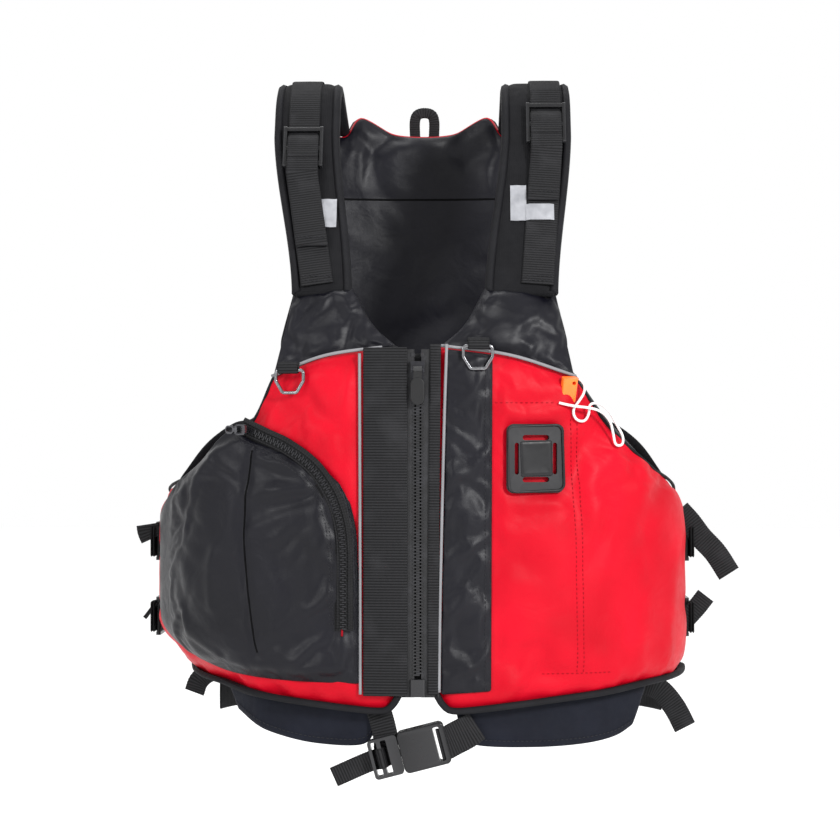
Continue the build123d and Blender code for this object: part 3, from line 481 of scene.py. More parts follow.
def curve(*points, count=60):
    """Smooth curve through points, evenly spaced."""
    points = np.array(points, float)
    padded = np.vstack([2 * points[0] - points[1], points, 2 * points[-1] - points[-2]])
    fine = []
    for p0, p1, p2, p3 in zip(padded, padded[1:], padded[2:], padded[3:]):
        for t in np.linspace(0, 1, 24, endpoint=False):
            fine.append(0.5 * (2 * p1 + (p2 - p0) * t + (2 * p0 - 5 * p1 + 4 * p2 - p3) * t**2
                               + (3 * p1 - p0 - 3 * p2 + p3) * t**3))
    fine.append(points[-1])
    return resample(fine, count)


def flat_run(points):
    """Front-view (x, z) points as girth and height."""
    return [(along(x), z) for x, z in points]


def patch(bottom, right, top, left, cols, rows):
    """Grid of (s, z) places filling the space between four edge curves."""
    u = np.linspace(0, 1, cols)[:, None, None]
    v = np.linspace(0, 1, rows)[None, :, None]
    b = resample(bottom, cols)[:, None]
    t = resample(top, cols)[:, None]
    l = resample(left, rows)[None]
    r = resample(right, rows)[None]
    corners = (1 - u) * (1 - v) * b[0] + u * (1 - v) * b[-1] + (1 - u) * v * t[0] + u * v * t[-1]
    return (1 - v) * b + v * t + (1 - u) * l + u * r - corners


def gentle(value):
    value = np.clip(value, 0, 1)
    return value * value * (3 - 2 * value)


def wander(s, z, size, seed):
    """Smooth irregular field from -1 to 1 over the cloth."""
    total = np.zeros_like(np.asarray(s, float))
    maker = np.random.default_rng(seed)
    for _ in range(7):
        angle, phase = maker.uniform(0, math.tau, 2)
        wave = size * maker.uniform(0.6, 1.6)
        total += np.sin(math.tau * (s * math.cos(angle) + z * math.sin(angle)) / wave + phase)
    return total / 3.5


def creases(s, z, low, high, angles, seed, count=14, length=26.0, width=4.5):
    """Short bent folds scattered over a box of the cloth, running at about the given angles."""
    maker = np.random.default_rng(seed)
    total = np.zeros_like(np.asarray(s, float))
    for _ in range(count):
        middle_s, middle_z = maker.uniform(low, high)
        turn = math.radians(maker.choice(angles) + maker.normal(0, 11))
        reach, wide = length * maker.uniform(0.6, 1.5), width * maker.uniform(0.7, 1.5)
        run = (s - middle_s) * math.cos(turn) + (z - middle_z) * math.sin(turn)
        across = (z - middle_z) * math.cos(turn) - (s - middle_s) * math.sin(turn)
        across = across + maker.uniform(-0.5, 0.5) * run**2 / reach
        total += maker.choice((-1.0, 1.0)) * np.exp(-(run / reach) ** 2 - (across / wide) ** 2)
    return total


def ridges(s, z, lines, width):
    """Folds along given lines of front-view points."""
    return sum(near(s, z, flat_run(curve(*line, count=30)), width) for line in lines)


def line_distance(s, z, line):
    """Distance from every (s, z) to a line of points."""
    line = resample(line, 160)
    gaps = np.hypot(np.asarray(s)[..., None] - line[:, 0], np.asarray(z)[..., None] - line[:, 1])
    return gaps.min(-1)


def near(s, z, line, width):
    """1 on a line over the cloth, falling to almost 0 at two widths from it."""
    return np.exp(-(line_distance(s, z, line) / width) ** 2)


def rounded(reach, width):
    """1 at the edge of a piece, falling to 0 at the given distance inside it."""
    return (1 - gentle(reach / width)) ** 1.5


# ------------------------------------------------------------------ meshes

class Shape:
    """Vertices in millimetres, faces with material indices, and a flat map in metres."""

    def __init__(self):
        self.points = []
        self.faces = []
        self.finish = []
        self.flat = []

    def add(self, points, faces, finish=0, flat=None):
        start = len(self.points)
        self.points.extend(tuple(point) for point in points)
        self.faces.extend(tuple(start + index for index in face) for face in faces)
        self.finish.extend([finish] * len(faces))
        self.flat.extend(flat if flat is not None else [(p[0], p[2]) for p in points])
        return start

    def piece(self, name, looks, body="root", slot=None, replaces=(), smooth=True):
        mesh = bpy.data.meshes.new(name)
        mesh.from_pydata([tuple(MM * part for part in point) for point in self.points], [], self.faces)
        mesh.polygons.foreach_set("material_index", self.finish)
        mesh.polygons.foreach_set("use_smooth", [smooth] * len(self.faces))
        layer = mesh.uv_layers.new(name="flat")
        picked = np.zeros(len(mesh.loops), int)
        mesh.loops.foreach_get("vertex_index", picked)
        layer.data.foreach_set("uv", (np.array(self.flat, float)[picked] * MM).ravel())
        for look in looks:
            mesh.materials.append(LOOKS[look])
        made = bpy.data.objects.new(name, mesh)
        bpy.context.collection.objects.link(made)
        if body:
            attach(made, body)
        if replaces:
            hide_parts(*replaces)
        return made


def grid_faces(cols, rows, start=0):
    corners = [start + i * rows + j for i in range(cols - 1) for j in range(rows - 1)]
    return [(low, low + rows, low + rows + 1, low + 1) for low in corners]


def ring_of(cols, rows):
    """Indices round the edge of a grid."""
    ring = [(i, 0) for i in range(cols)] + [(cols - 1, j) for j in range(1, rows)]
    ring += [(i, rows - 1) for i in range(cols - 2, -1, -1)] + [(0, j) for j in range(rows - 2, 0, -1)]
    return [i * rows + j for i, j in ring]


def pillow(grid, place, front, back, side=1, walls=3, belly=0.0, flare=None):
    """Closed padded shape: a front sheet, walls round its edge and a back sheet.

    front and back give how far each sheet stands proud, from (s, z, distance to the edge);
    flare gives how far the back sheet's edge spreads beyond the front's, from (s, z)."""
    cols, rows = grid.shape[:2]
    s, z = grid[..., 0], grid[..., 1]
    ring = ring_of(cols, rows)
    flat_s, flat_z = s.ravel(), z.ravel()
    edge = np.column_stack([flat_s[ring], flat_z[ring]])
    reach = line_distance(s, z, np.vstack([edge, edge[:1]])).ravel()
    reach[ring] = 0
    fronts = front(flat_s, flat_z, reach)
    backs = back(flat_s, flat_z, reach)
    shape = Shape()
    flat = [(side * a, b) for a, b in zip(flat_s, flat_z)]
    faces = grid_faces(cols, rows)
    shape.add([place(side * a, b, p) for a, b, p in zip(flat_s, flat_z, fronts)], faces, 0, flat)
    centre = edge.mean(0)
    outs = edge - centre
    outs /= np.linalg.norm(outs, axis=1)[:, None]
    spread = np.zeros(len(ring)) if flare is None else flare(edge[:, 0], edge[:, 1])
    rear = grid.reshape(-1, 2).copy()
    rear[ring] += outs * spread[:, None]
    start = shape.add([place(side * a, b, p) for (a, b), p in zip(rear, backs)],
                      [face[::-1] for face in faces], 2, flat)
    rings = [ring]
    for step in range(1, walls + 1):
        share = step / (walls + 1)
        points = []
        for index, out, widen in zip(ring, outs, spread):
            out = out * (belly * math.sin(math.pi * share) + widen * math.sin(math.pi / 2 * share))
            proud = (1 - share) * fronts[index] + share * backs[index]
            points.append(place(side * (flat_s[index] + out[0]), flat_z[index] + out[1], proud))
        low = shape.add(points, [], 1, [(k * 5.0, share * 25) for k in range(len(ring))])
        rings.append([low + k for k in range(len(ring))])
    rings.append([start + index for index in ring])
    for first, second in zip(rings, rings[1:]):
        for k in range(len(ring)):
            n = (k + 1) % len(ring)
            shape.faces.append((first[n], first[k], second[k], second[n]))
            shape.finish.append(1)
    if side < 0:
        shape.faces = [face[::-1] for face in shape.faces]
    free = [index for index in range(cols * rows) if reach[index] > 0.5]
    return shape, free


def even(height):
    """Back sheet of a pillow at one height above the cloth's plan curve."""
    return lambda s, z, reach: height + 0 * reach


def coordinates_of(mesh):
    flat = np.zeros(len(mesh.vertices) * 3)
    mesh.vertices.foreach_get("co", flat)
    return flat.reshape(-1, 3)


def puff(piece, free, pressure=4.0, swell=0.02, cap=5.0, stiffness=0.3, frames=20):
    """Lets the free part of a sheet fill and pucker against its pinned seams."""
    start = coordinates_of(piece.data)
    pinned = sorted(set(range(len(start))) - set(free))
    group = piece.vertex_groups.new(name="pinned")
    group.add(pinned, 1.0, "REPLACE")
    cloth = piece.modifiers.new("cloth", "CLOTH")
    settings = cloth.settings
    settings.quality = 6
    settings.mass = 0.15
    settings.tension_stiffness = 15
    settings.compression_stiffness = 15
    settings.shear_stiffness = 6
    settings.bending_stiffness = stiffness
    settings.use_pressure = True
    settings.uniform_pressure_force = pressure
    settings.shrink_min = -swell
    settings.shrink_max = -swell
    settings.effector_weights.gravity = 0
    settings.vertex_group_mass = "pinned"
    cloth.collision_settings.use_collision = False
    cloth.collision_settings.use_self_collision = False
    cloth.point_cache.frame_start = 1
    cloth.point_cache.frame_end = frames
    scene = bpy.context.scene
    for number in range(1, frames + 1):
        scene.frame_set(number)
    held = piece.evaluated_get(bpy.context.evaluated_depsgraph_get())
    moved = coordinates_of(held.data) - start
    length = np.linalg.norm(moved, axis=1)
    limit = cap * MM
    moved *= (limit * np.tanh(length / limit) / np.maximum(length, 1e-9))[:, None]
    piece.modifiers.remove(cloth)
    piece.vertex_groups.remove(group)
    piece.data.vertices.foreach_set("co", (start + moved).ravel())
    scene.frame_set(1)


def modified(piece, kind, **settings):
    """Gives a piece the mesh that a modifier makes of it."""
    modifier = piece.modifiers.new(kind.lower(), kind)
    for key, value in settings.items():
        setattr(modifier, key, value)
    held = piece.evaluated_get(bpy.context.evaluated_depsgraph_get())
    mesh = bpy.data.meshes.new_from_object(held)
    piece.modifiers.remove(modifier)
    old = piece.data
    piece.data = mesh
    mesh.name = old.name
    bpy.data.meshes.remove(old)


def sewn(shape, name, looks, slot, replaces, fill, free=(), **filling):
    """Padded piece made from a pillow; the free part of its sheets is filled by the simulation."""
    made = shape.piece(name, looks, slot=slot, replaces=replaces)
    if free:
        puff(made, free, **filling)
    modified(made, "SUBSURF", levels=1, render_levels=1)
    return made


def surface_of(piece):
    """Lookup tree over a finished piece, in metres."""
    points = [vertex.co.copy() for vertex in piece.data.vertices]
    return BVHTree.FromPolygons(points, [tuple(polygon.vertices) for polygon in piece.data.polygons])


def drape(tree, places, outs, height):
    """Places moved along their outward directions onto a surface, then lifted off it."""
    landed = []
    for place, out in zip(places, outs):
        out = out.normalized()
        hit = tree.ray_cast((place + out * 30) * MM, -out, 0.06)[0]
        landed.append((hit / MM if hit else place) + out * height)
    return landed


def outward(place, s, z, step=0.5):
    return (place(s, z, step) - place(s, z, 0)).normalized()


def laid(place, line, proud=0.0):
    """Points of a line over the cloth, and the outward direction at each."""
    return [place(s, z, proud) for s, z in line], [outward(place, s, z) for s, z in line]


def swept(shape, path, ups, section, finish=0, closed=False):
    """Carries a section of (across, up) points along a path; section may vary with the index."""
    count = len(path)
    points, flat = [], []
    run = 0.0
    for index in range(count):
        before = path[index - 1] if index or closed else path[0]
        after = path[(index + 1) % count] if index < count - 1 or closed else path[-1]
        tangent = (after - before).normalized()
        side = tangent.cross(ups[index]).normalized()
        up = side.cross(tangent).normalized()
        if index:
            run += (path[index] - path[index - 1]).length
        outline = section(index, run) if callable(section) else section
        width = 0.0
        for number, (a, b) in enumerate(outline):
            if number:
                width += math.hypot(a - outline[number - 1][0], b - outline[number - 1][1])
            points.append(path[index] + side * a + up * b)
            flat.append((width, run))
    size = len(outline)
    faces = []
    for index in range(count if closed else count - 1):
        here, there = index * size, ((index + 1) % count) * size
        for k in range(size):
            n = (k + 1) % size
            faces.append((here + k, here + n, there + n, there + k))
    if not closed:
        faces.append(tuple(range(size))[::-1])
        faces.append(tuple((count - 1) * size + k for k in range(size)))
    shape.add(points, faces, finish, flat)


def circle_section(radius, sides=8, squash=1.0):
    angles = [math.tau * k / sides for k in range(sides)]
    return [(radius * math.cos(angle), radius * squash * math.sin(angle)) for angle in angles]


def smoothed_path(points, step, rounds=2):
    """Rounds a path's corners, then spaces it evenly."""
    points = [np.array(point, float) for point in points]
    for _ in range(rounds):
        cut = [points[0]]
        for a, b in zip(points, points[1:]):
            cut += [0.75 * a + 0.25 * b, 0.25 * a + 0.75 * b]
        points = cut + [points[-1]]
    length = sum(np.linalg.norm(b - a) for a, b in zip(points, points[1:]))
    return spaced(points, max(3, int(length / step) + 1))


def ribbed(width=WEBBING_WIDTH, thickness=WEBBING, pitch=RIB_PITCH, relief=0.36):
    """Section of webbing whose faces rise and fall along its length."""
    half, thick = width / 2, thickness / 2

    def section(index, run):
        wave = 0.5 + 0.5 * math.cos(math.tau * run / pitch)
        top = thick + (relief * wave - relief)
        edge = half - 0.25 * wave
        flank = half - 1.4
        return [(-edge, -top * 0.5), (-edge, top * 0.5), (-flank, top), (0, top + 0.1), (flank, top),
                (edge, top * 0.5), (edge, -top * 0.5), (flank, -top), (0, -top), (-flank, -top)]
    return section


def length_of(path):
    return sum((b - a).length for a, b in zip(path, path[1:]))


def webbing_run(shape, path, ups, width=WEBBING_WIDTH, thickness=WEBBING, pitch=RIB_PITCH):
    """Ribbed webbing along a path, given its outward direction at each point or one for all."""
    count = max(3, int(length_of(path) / (pitch / 4)) + 1)
    lifts = [ups] * count if isinstance(ups, Vector) else spaced(path, count, ups)
    swept(shape, spaced(path, count), lifts, ribbed(width, thickness, pitch))


def path_ups(path, across):
    """Outward directions of a path that turns about one axis."""
    ups = []
    for index in range(len(path)):
        tangent = path[min(index + 1, len(path) - 1)] - path[max(index - 1, 0)]
        ups.append(across.cross(tangent).normalized())
    return ups


def folded(shape, points, across, width=WEBBING_WIDTH):
    """Ribbed webbing that bends about one axis, through points whose corners are rounded."""
    path = smoothed_path(points, RIB_PITCH / 4)
    swept(shape, path, path_ups(path, across), ribbed(width))


def stitch(shape, path, ups, pitch=3.4, length=2.3, radius=0.34):
    """Row of raised stitches along a path."""
    count = max(2, int(length_of(path) / pitch))
    places = spaced(path, count)
    for index, (place, up) in enumerate(zip(places, spaced(path, count, ups))):
        after = places[min(index + 1, count - 1)]
        before = places[max(index - 1, 0)]
        tangent = (after - before).normalized()
        half = tangent * length / 2
        run = [place - half - up * radius, place - half * 0.55 + up * radius * 0.3,
               place + half * 0.55 + up * radius * 0.3, place + half - up * radius]
        sizes = [0.35 * radius, radius, radius, 0.35 * radius]
        swept(shape, run, [up] * 4, lambda k, _: circle_section(sizes[k], 5))


def tube(shape, path, radius, finish=0, sides=8, closed=False, squash=1.0, ups=None):
    ups = ups or [Vector((0.13, -0.9, 0.41))] * len(path)
    swept(shape, path, ups, circle_section(radius, sides, squash), finish, closed)


# ------------------------------------------------------------------ front halves

# Hem, and the pocket's outline: inner edge up to the slider, along the top, and the bottom edge
HEM_LINE = curve((14, 42), (19, 34), (27, 29.5), (52, 31), (100, 36), (142, 40), (190, 45),
                 (FRONT_END_S - 30, 47), (FRONT_END_S - 8, 49), count=90)
POCKET_INNER = flat_run(curve((44, 52), (44.5, 100), (45.5, 140), (48, 174), (60, 205), (92, 229),
                              (133, 247)))
POCKET_TOP_EDGE = flat_run(curve((133, 247), (151, 237), (169, 217), (190, 200), (202, 185)))
POCKET_TOP_EDGE.append((POCKET_END_S, 172))
POCKET_BOTTOM = curve((along(44), 52), (along(95), 53), (155, 56), (182, 59), (206, 65), (232, 76),
                      (POCKET_END_S, 98))
POCKET_CROWN = np.array(POCKET_INNER[5:] + POCKET_TOP_EDGE[1:])


def front_grid(side):
    """Front half in girth and height: zip edge, hem, side edge and armhole, and the yoke seam."""
    end, mid, low = SEAM_END[side], ARMHOLE_MID[side], ARMHOLE_LOW[side]
    seam = flat_run(curve(*YOKE_SEAM, end))
    armhole = flat_run(curve(end, mid, low, count=40))
    side_edge = curve((FRONT_END_S - 8, 49), (FRONT_END_S, 70), (FRONT_END_S, 166), (FRONT_END_S - 7, 184),
                      armhole[-1])
    right = [*side_edge, *armhole[-2::-1]]
    left = [(14, 42), (14, 303), (17, 305.5)]
    return patch(HEM_LINE, right, seam, left, 44, 52)


def front_rise(side):
    """How far a front cover stands proud: full in the open, flat under what is sewn on it."""
    def rise(s, z, reach):
        proud = -EDGE_DROP * rounded(reach, 16) + 2.5 * gentle(reach / 45)
        pucker = wander(s, z, 26, 11 + side) * gentle(reach / 6) * (1 - gentle(reach / 50))
        sag = wander(s * 1.6, z * 0.5, 60, 5 + side) * gentle(reach / 20)
        proud += 0.8 * pucker + 0.9 * sag
        if side > 0:
            folds = creases(s, z, (60, 60), (240, 250), (80, 100, 60), 17, 22, 34, 6)
            folds += creases(s, z, (60, 45), (240, 80), (70, 110), 19, 14, 13, 4)
            folds += creases(s, z, (140, 190), (215, 240), (-50, -20), 23, 8, 22, 5)
            proud += 1.9 * folds * gentle(reach / 9)
            for line, depth, width in LEFT_GROOVES:
                proud -= depth * near(s, z, flat_run(line), width)
            tab = gentle((28 - abs(s - along(LASH_X))) / 6) * gentle((32 - abs(z - LASH_Z)) / 6)
            hidden = np.maximum(1 - gentle((s - along(58)) / 8), tab)
        else:
            folds = creases(s, z, (50, 240), (150, 290), (100, 70, 40), 29, 12, 24, 5)
            proud += 1.6 * folds * gentle(reach / 9)
            hidden = np.maximum(1 - gentle((s - along(44)) / 8), under_pocket(s, z))
        return (1 - hidden) * proud + hidden * np.minimum(proud, -0.8)
    return rise


def covered(side, s, z):
    """Whether a place on a front half lies under the zip trim, the lash tab or the pocket."""
    if s < along(60):
        return True
    if side > 0:
        return abs(s - along(LASH_X)) < 30 and abs(z - LASH_Z) < 34
    return under_pocket(s, z, 1.0) > 0


def front_panel(side):
    name = side_name(side)
    rise = front_rise(side)

    def flare(s, z):
        armhole = gentle((s - along(112)) / 14) * gentle((z - GUSSET_LOW_Z[side]) / 14)
        corner = gentle((s - 225) / 20) * gentle((110 - z) / 40)
        return GUSSET_SPREAD[side] * np.maximum(armhole, 0.6 * corner)

    def under(s, z, reach):
        return -PANEL_DEPTH + 3 * (1 - gentle(reach / 14))

    shape, free = pillow(front_grid(side), on_front, rise, under, side, walls=4, belly=1.2, flare=flare)
    places = [(s * side, z) for s, z in shape.flat]
    open_cloth = [index for index in free if not covered(side, *places[index])]
    replaced = [f"{name}_front_cover", f"{name}_front_foam", f"{name}_front_lining"]
    return sewn(shape, f"{name}_front_panel", ["red", "gusset", "black"], "red_nylon", replaced, 0.8,
                open_cloth, pressure=3.0, swell=0.03, cap=3.5)


def yoke_grid(side):
    end = SEAM_END[side]
    seam = flat_run([(x, z + 0.5) for x, z in curve(*YOKE_SEAM, end)])
    inner, outer = STRAP_FOOT_X[side]
    top = flat_run([(inner, STRAP_BASE_Z), (outer, STRAP_BASE_Z)])
    left = flat_run(curve((17, 306), (36, 323), (inner, STRAP_BASE_Z)))
    right = flat_run([(end[0], end[1] + 0.5), (outer, STRAP_BASE_Z)])
    return patch(seam, right, top, left, 30, 20)


def yoke_panel(side):
    name = side_name(side)
    angles = (50, 20, 75, -30) if side > 0 else (120, 60, 100)

    def rise(s, z, reach):
        fold = creases(s, z, (30, 285), (115, 350), angles, 21 + side, 26, 22, 4.2)
        return -3.5 * rounded(reach, 10) + 2.0 * gentle(reach / 26) + 1.3 * fold * gentle(reach / 8)

    shape, free = pillow(yoke_grid(side), on_yoke, rise, even(-12.0), side)
    sewn(shape, f"{name}_yoke_panel", ["black"] * 3, "black_nylon", [f"{name}_yoke"], 0.6,
         free, pressure=3.0, swell=0.05, cap=3.5, stiffness=0.15)


def piping(side):
    """Pale piped edge along the yoke seam and beside the zip."""
    shape = Shape()
    seam = flat_run(curve(*YOKE_SEAM, SEAM_END[side], count=50))
    edge = ((21.6, 307), (19.5, 240), (16.8, 120), (15.9, 46))
    if side < 0:
        seam = [place for place in seam if place[0] > 26]
        edge = ((43.6, 300), (43.2, 170), (43.0, 44))
    tube(shape, [on_front(side * s, z + 0.4, -1.6) for s, z in seam], 1.25)
    tube(shape, [on_front(side * along(x), z, 1.9) for x, z in curve(*edge, count=60)], 1.15)
    shape.piece(f"{side_name(side)}_piping", ["piping"], slot="black_nylon")


def hem_binding(side):
    """Folded tape over the bottom edge of a front half, turning up at the zip."""
    shape = Shape()
    places = [(side * s, z + 1.5) for s, z in HEM_LINE]
    half = 14.2
    section = [(-half, -2.6), (-half, 1.2), (-half + 3, 2.4), (half - 3, 2.4), (half, 1.2), (half, -2.6),
               (half - 1.4, -2.6), (half - 1.8, -0.2), (-half + 1.8, -0.2), (-half + 1.4, -2.6)]
    swept(shape, [on_front(s, z, -15.0) for s, z in places], [Vector((0, 0, -1))] * len(places), section)
    tube(shape, [on_front(s, z + 0.6, 0.2) for s, z in places], 2.7, squash=0.5)
    shape.piece(f"{side_name(side)}_hem_binding", ["binding"], slot="black_nylon")


def edge_cord(side):
    """Bound rim where a cover meets its black gusset round the armhole."""
    shape = Shape()
    places = flat_run(curve(SEAM_END[side], ARMHOLE_MID[side], ARMHOLE_LOW[side], count=50))
    places = resample(places + [(FRONT_END_S - 2, SIDE_TOP_Z + 0.5)], 70)
    tube(shape, [on_front(side * s, z, -EDGE_DROP - 0.4) for s, z in places], 1.3)
    shape.piece(f"{side_name(side)}_armhole_rims", ["binding"], slot="black_nylon")


def waist_flap(side):
    """Neoprene flap with a turned edge and a row of stitching."""
    name = side_name(side)
    if side > 0:
        edge, outer = ((33, 15), (44, 4), (90, 1), (130, 2), (158, 6), (174, 13)), 187
    else:
        edge, outer = ((33, 15), (44, 4), (80, 4), (112, 9), (140, 15), (172, 25)), 186
    bottom = flat_run(curve(*edge))
    top = flat_run([(28, 36), (110, 38), (outer, 44)])
    left = flat_run([(33, 15), (28, 36)])
    right = [bottom[-1], top[-1]]
    grid = patch(bottom, right, top, left, 56, 12)

    def rise(s, z, reach):
        wave = wander(s, z * 0.3, 90, 41 + side) * gentle((30 - z) / 20)
        return -10.4 - 1.2 * (1 - gentle(reach / 2.5)) + wave

    def under(s, z, reach):
        return rise(s, z, reach) - 3.2 + 1.6 * (1 - gentle(reach / 3))

    shape = pillow(grid, on_front, rise, under, side, walls=2)[0]
    flap = sewn(shape, f"{name}_neoprene_flap", ["neoprene"] * 3, "neoprene", [f"{name}_waist_flap"], 0.9)
    seams = Shape()
    places, outs = laid(on_front, [(side * s, z + 5.0) for s, z in resample(bottom, 70)])
    stitch(seams, drape(surface_of(flap), places, outs, 0.2), outs)
    seams.piece(f"{name}_flap_stitching", ["thread"], slot="neoprene")


# ------------------------------------------------------------------ zip surround

def zip_trim():
    """Wide ribbed webbing on the right of the zip, narrow facing and nylon placket on the left."""
    wide = Shape()
    path = [on_front(along(-24.3), z, 2.6) for z in np.linspace(43, 304.5, 8)]
    webbing_run(wide, path, Vector((-0.064, -1, 0)), 33.4, 1.7, pitch=2.35)
    wide.piece("zip_webbing", ["webbing"], slot="black_webbing", replaces=["right_zip_webbing"])
    narrow = Shape()
    path = [on_front(along(x), z, 2.3) for x, z in ((11.5, 44.5), (11.6, 120), (12.4, 220), (13.2, 307))]
    webbing_run(narrow, path, Vector((0.03, -1, 0)), 8.6, 1.2, pitch=2.35)
    narrow.piece("zip_facing", ["webbing"], slot="black_webbing", replaces=["left_zip_facing"])

    guard = Shape()
    path = [on_front(0, z, -4.6) for z in np.linspace(44, 300, 60)]
    section = [(-13, -0.5), (-13, 0.4), (0, 0.7), (13, 0.4), (13, -0.5)]
    swept(guard, path, [Vector((0, -1, 0))] * len(path), section)
    guard.piece("zip_guard", ["gusset"], slot="black_nylon")

    bottom = flat_run([(17.2, 44), (55, 46)])
    top = flat_run([(21.8, 303.2), (56, 299.2)])
    grid = patch(bottom, [bottom[-1], top[-1]], top, [bottom[0], top[0]], 14, 66)

    def rise(s, z, reach):
        crease = 1.4 * creases(s, z, (24, 50), (46, 300), (35, 60, 120), 31, 24, 15, 4.5)
        seam = np.exp(-((s - along(49)) / 1.6) ** 2)
        return 1.0 + 1.6 * gentle(reach / 6) + 0.8 * crease * gentle(reach / 5) - 0.9 * seam

    shape, free = pillow(grid, on_front, rise, even(0.1), 1, walls=1)
    placket = sewn(shape, "zip_placket", ["black"] * 3, "black_nylon", ["left_zip_placket"], 0.3,
                   free, pressure=1.5, swell=0.05, cap=1.8, stiffness=0.1)
    seams = Shape()
    places, outs = laid(on_front, [(along(50.5), z) for z in np.linspace(48, 297, 60)])
    stitch(seams, drape(surface_of(placket), places, outs, 0.15), outs)
    seams.piece("placket_stitching", ["thread"], slot="black_nylon")


# ------------------------------------------------------------------ pocket

def pocket_grid():
    right = [POCKET_BOTTOM[-1], POCKET_TOP_EDGE[-1]]
    return patch(POCKET_BOTTOM, right, POCKET_TOP_EDGE, POCKET_INNER, 64, 66)


def under_pocket(s, z, soft=8.0):
    """1 well inside the pocket's outline, falling to 0 just inside its edge."""
    crown = np.interp(s, POCKET_CROWN[:, 0], POCKET_CROWN[:, 1])
    low = np.interp(s, POCKET_BOTTOM[:, 0], POCKET_BOTTOM[:, 1])
    return gentle((crown - z) / soft) * gentle((z - low) / soft) * gentle((POCKET_END_S - s) / soft)


def pocket_rise(s, z, reach):
    edge = 1.6
    proud = edge + (POCKET_RISE - edge) * gentle(reach / 13) * (1 - 0.85 * gentle((s - 175) / 55))
    proud -= 2.8 * near(s, z, flat_run(curve(*POCKET_DART)), 2.6)
    bend_s, bend_z = 45.0, 215.0
    fan = np.arctan2(z - bend_z, s - bend_s)
    away = np.hypot(s - bend_s, z - bend_z)
    folds = np.sin(fan * 17 + 1.1 * np.sin(away / 30)) * gentle(away / 30) * (1 - gentle((away - 70) / 55))
    folds *= gentle(reach / 10)
    long_folds = wander(s * 1.3, z * 0.45, 46, 71) * gentle(reach / 14)
    fresh = creases(s, z, (60, 66), (215, 200), (60, 85, 110, 130), 73, 26, 30, 5)
    fresh += creases(s, z, (50, 56), (200, 90), (75, 105, 40), 79, 16, 15, 4)
    fresh += creases(s, z, (100, 195), (190, 235), (-30, 20), 83, 7, 20, 4)
    sharp = fresh + 2.0 * ridges(s, z, POCKET_FOLDS, 4.6)
    relief = 0.7 * folds + 0.8 * long_folds + sharp * gentle(reach / 8)
    proud += relief * gentle((250 - s) / 40)
    inside = [(a + 7, b - 3) for a, b in flat_run(POCKET_ZIP)]
    return proud - 1.4 * near(s, z, inside, 2.0)


def pocket():
    shape, free = pillow(pocket_grid(), on_front, pocket_rise, even(0.2), -1, walls=2, belly=0.6)
    s, z = np.array(shape.flat).T * [[-1], [1]]
    zip_gap = line_distance(s, z, flat_run(POCKET_ZIP))
    loose = [index for index in free if zip_gap[index] > 6 and s[index] < POCKET_FREE_S]
    bag = sewn(shape, "pocket_bellows", ["black"] * 3, "black_nylon", ["right_pocket"], 0.35,
               loose, pressure=2.5, swell=0.05, cap=4.0, stiffness=0.08)
    tree = surface_of(bag)

    def landed(line, height):
        places, outs = laid(on_front, [(-s, z) for s, z in line])
        return drape(tree, places, outs, height), outs

    zip_line = resample(flat_run(curve(*POCKET_ZIP)), 150)
    path, outs = landed(zip_line, 0)
    path = [place * 0.5 + on_front(-s, z, POCKET_RISE + 0.9) * 0.5 for place, (s, z) in zip(path, zip_line)]
    tape = Shape()
    section = [(-7, -1.6), (-7, -0.9), (-3.2, 0.3), (3.2, 0.3), (7, -0.9), (7, -1.6), (0, -1.2)]
    swept(tape, path, outs, section)
    for way in (-1, 1):
        welt = []
        for place, out, a, b in zip(path[1:-1], outs[1:-1], path, path[2:]):
            welt.append(place + out * 0.5 + (b - a).normalized().cross(out) * 4.2 * way)
        tube(tape, welt, 0.9, squash=0.6, ups=outs[1:-1])
    tape.piece("pocket_zip_tape", ["zip_tape"], slot="zip", replaces=["pocket_zip_chain"])
    teeth = Shape()
    tooth = [(-0.6, -0.9), (0.6, -0.9), (0.5, 0.6), (-0.5, 0.6)]
    count = 118
    places = spaced(path, count)
    lifts = spaced(path, count, outs)
    for index in range(1, count - 1):
        tangent = (places[index + 1] - places[index - 1]).normalized()
        across = tangent.cross(lifts[index]).normalized()
        shift = 0.75 * (1 if index % 2 else -1)
        middle = places[index] + lifts[index] * 1.1 + across * shift
        swept(teeth, [middle - across * 1.7, middle + across * 1.7], [lifts[index]] * 2, tooth)
    teeth.piece("pocket_zip_teeth", ["teeth"], slot="zip", smooth=False)

    seams = Shape()
    path, outs = landed(flat_run(curve(*POCKET_DART, count=90)), 0.0)
    # Painted shade: the dart is a sunk near-black tube standing in for the shadow in its groove.
    tube(seams, path, 0.8, 1, 6, squash=0.5, ups=outs)
    for gap in (8.5, 10.5):
        line = []
        for (a, b), (c, d) in zip(zip_line, zip_line[2:]):
            length = math.hypot(c - a, d - b)
            line.append((a - gap * (d - b) / length, b + gap * (c - a) / length))
        path, outs = landed(line[:-2], 0.15)
        stitch(seams, path, outs, pitch=3.0, length=2.0, radius=0.3)
    seams.piece("pocket_stitching", ["thread", "seam"], slot="black_nylon")
    tag = Shape()
    path, outs = landed([(along(55.5), 93), (along(55.5), 88)], 0.9)
    swept(tag, path, outs, [(-0.8, -0.5), (0.8, -0.5), (0.7, 0.4), (-0.7, 0.4)])
    tag.piece("pocket_bar_tack", ["red_thread"], slot="red_nylon")


# ------------------------------------------------------------------ shoulder straps

def strap_edges(side, t):
    """Inner and outer x of a shoulder pad at distance t from its foot."""
    share = min(1.0, t / 140.0)
    share = gentle(share) * 0.6 + share * 0.4
    return [foot + (full - foot) * share for foot, full in zip(STRAP_FOOT_X[side], STRAP_FULL_X[side])]


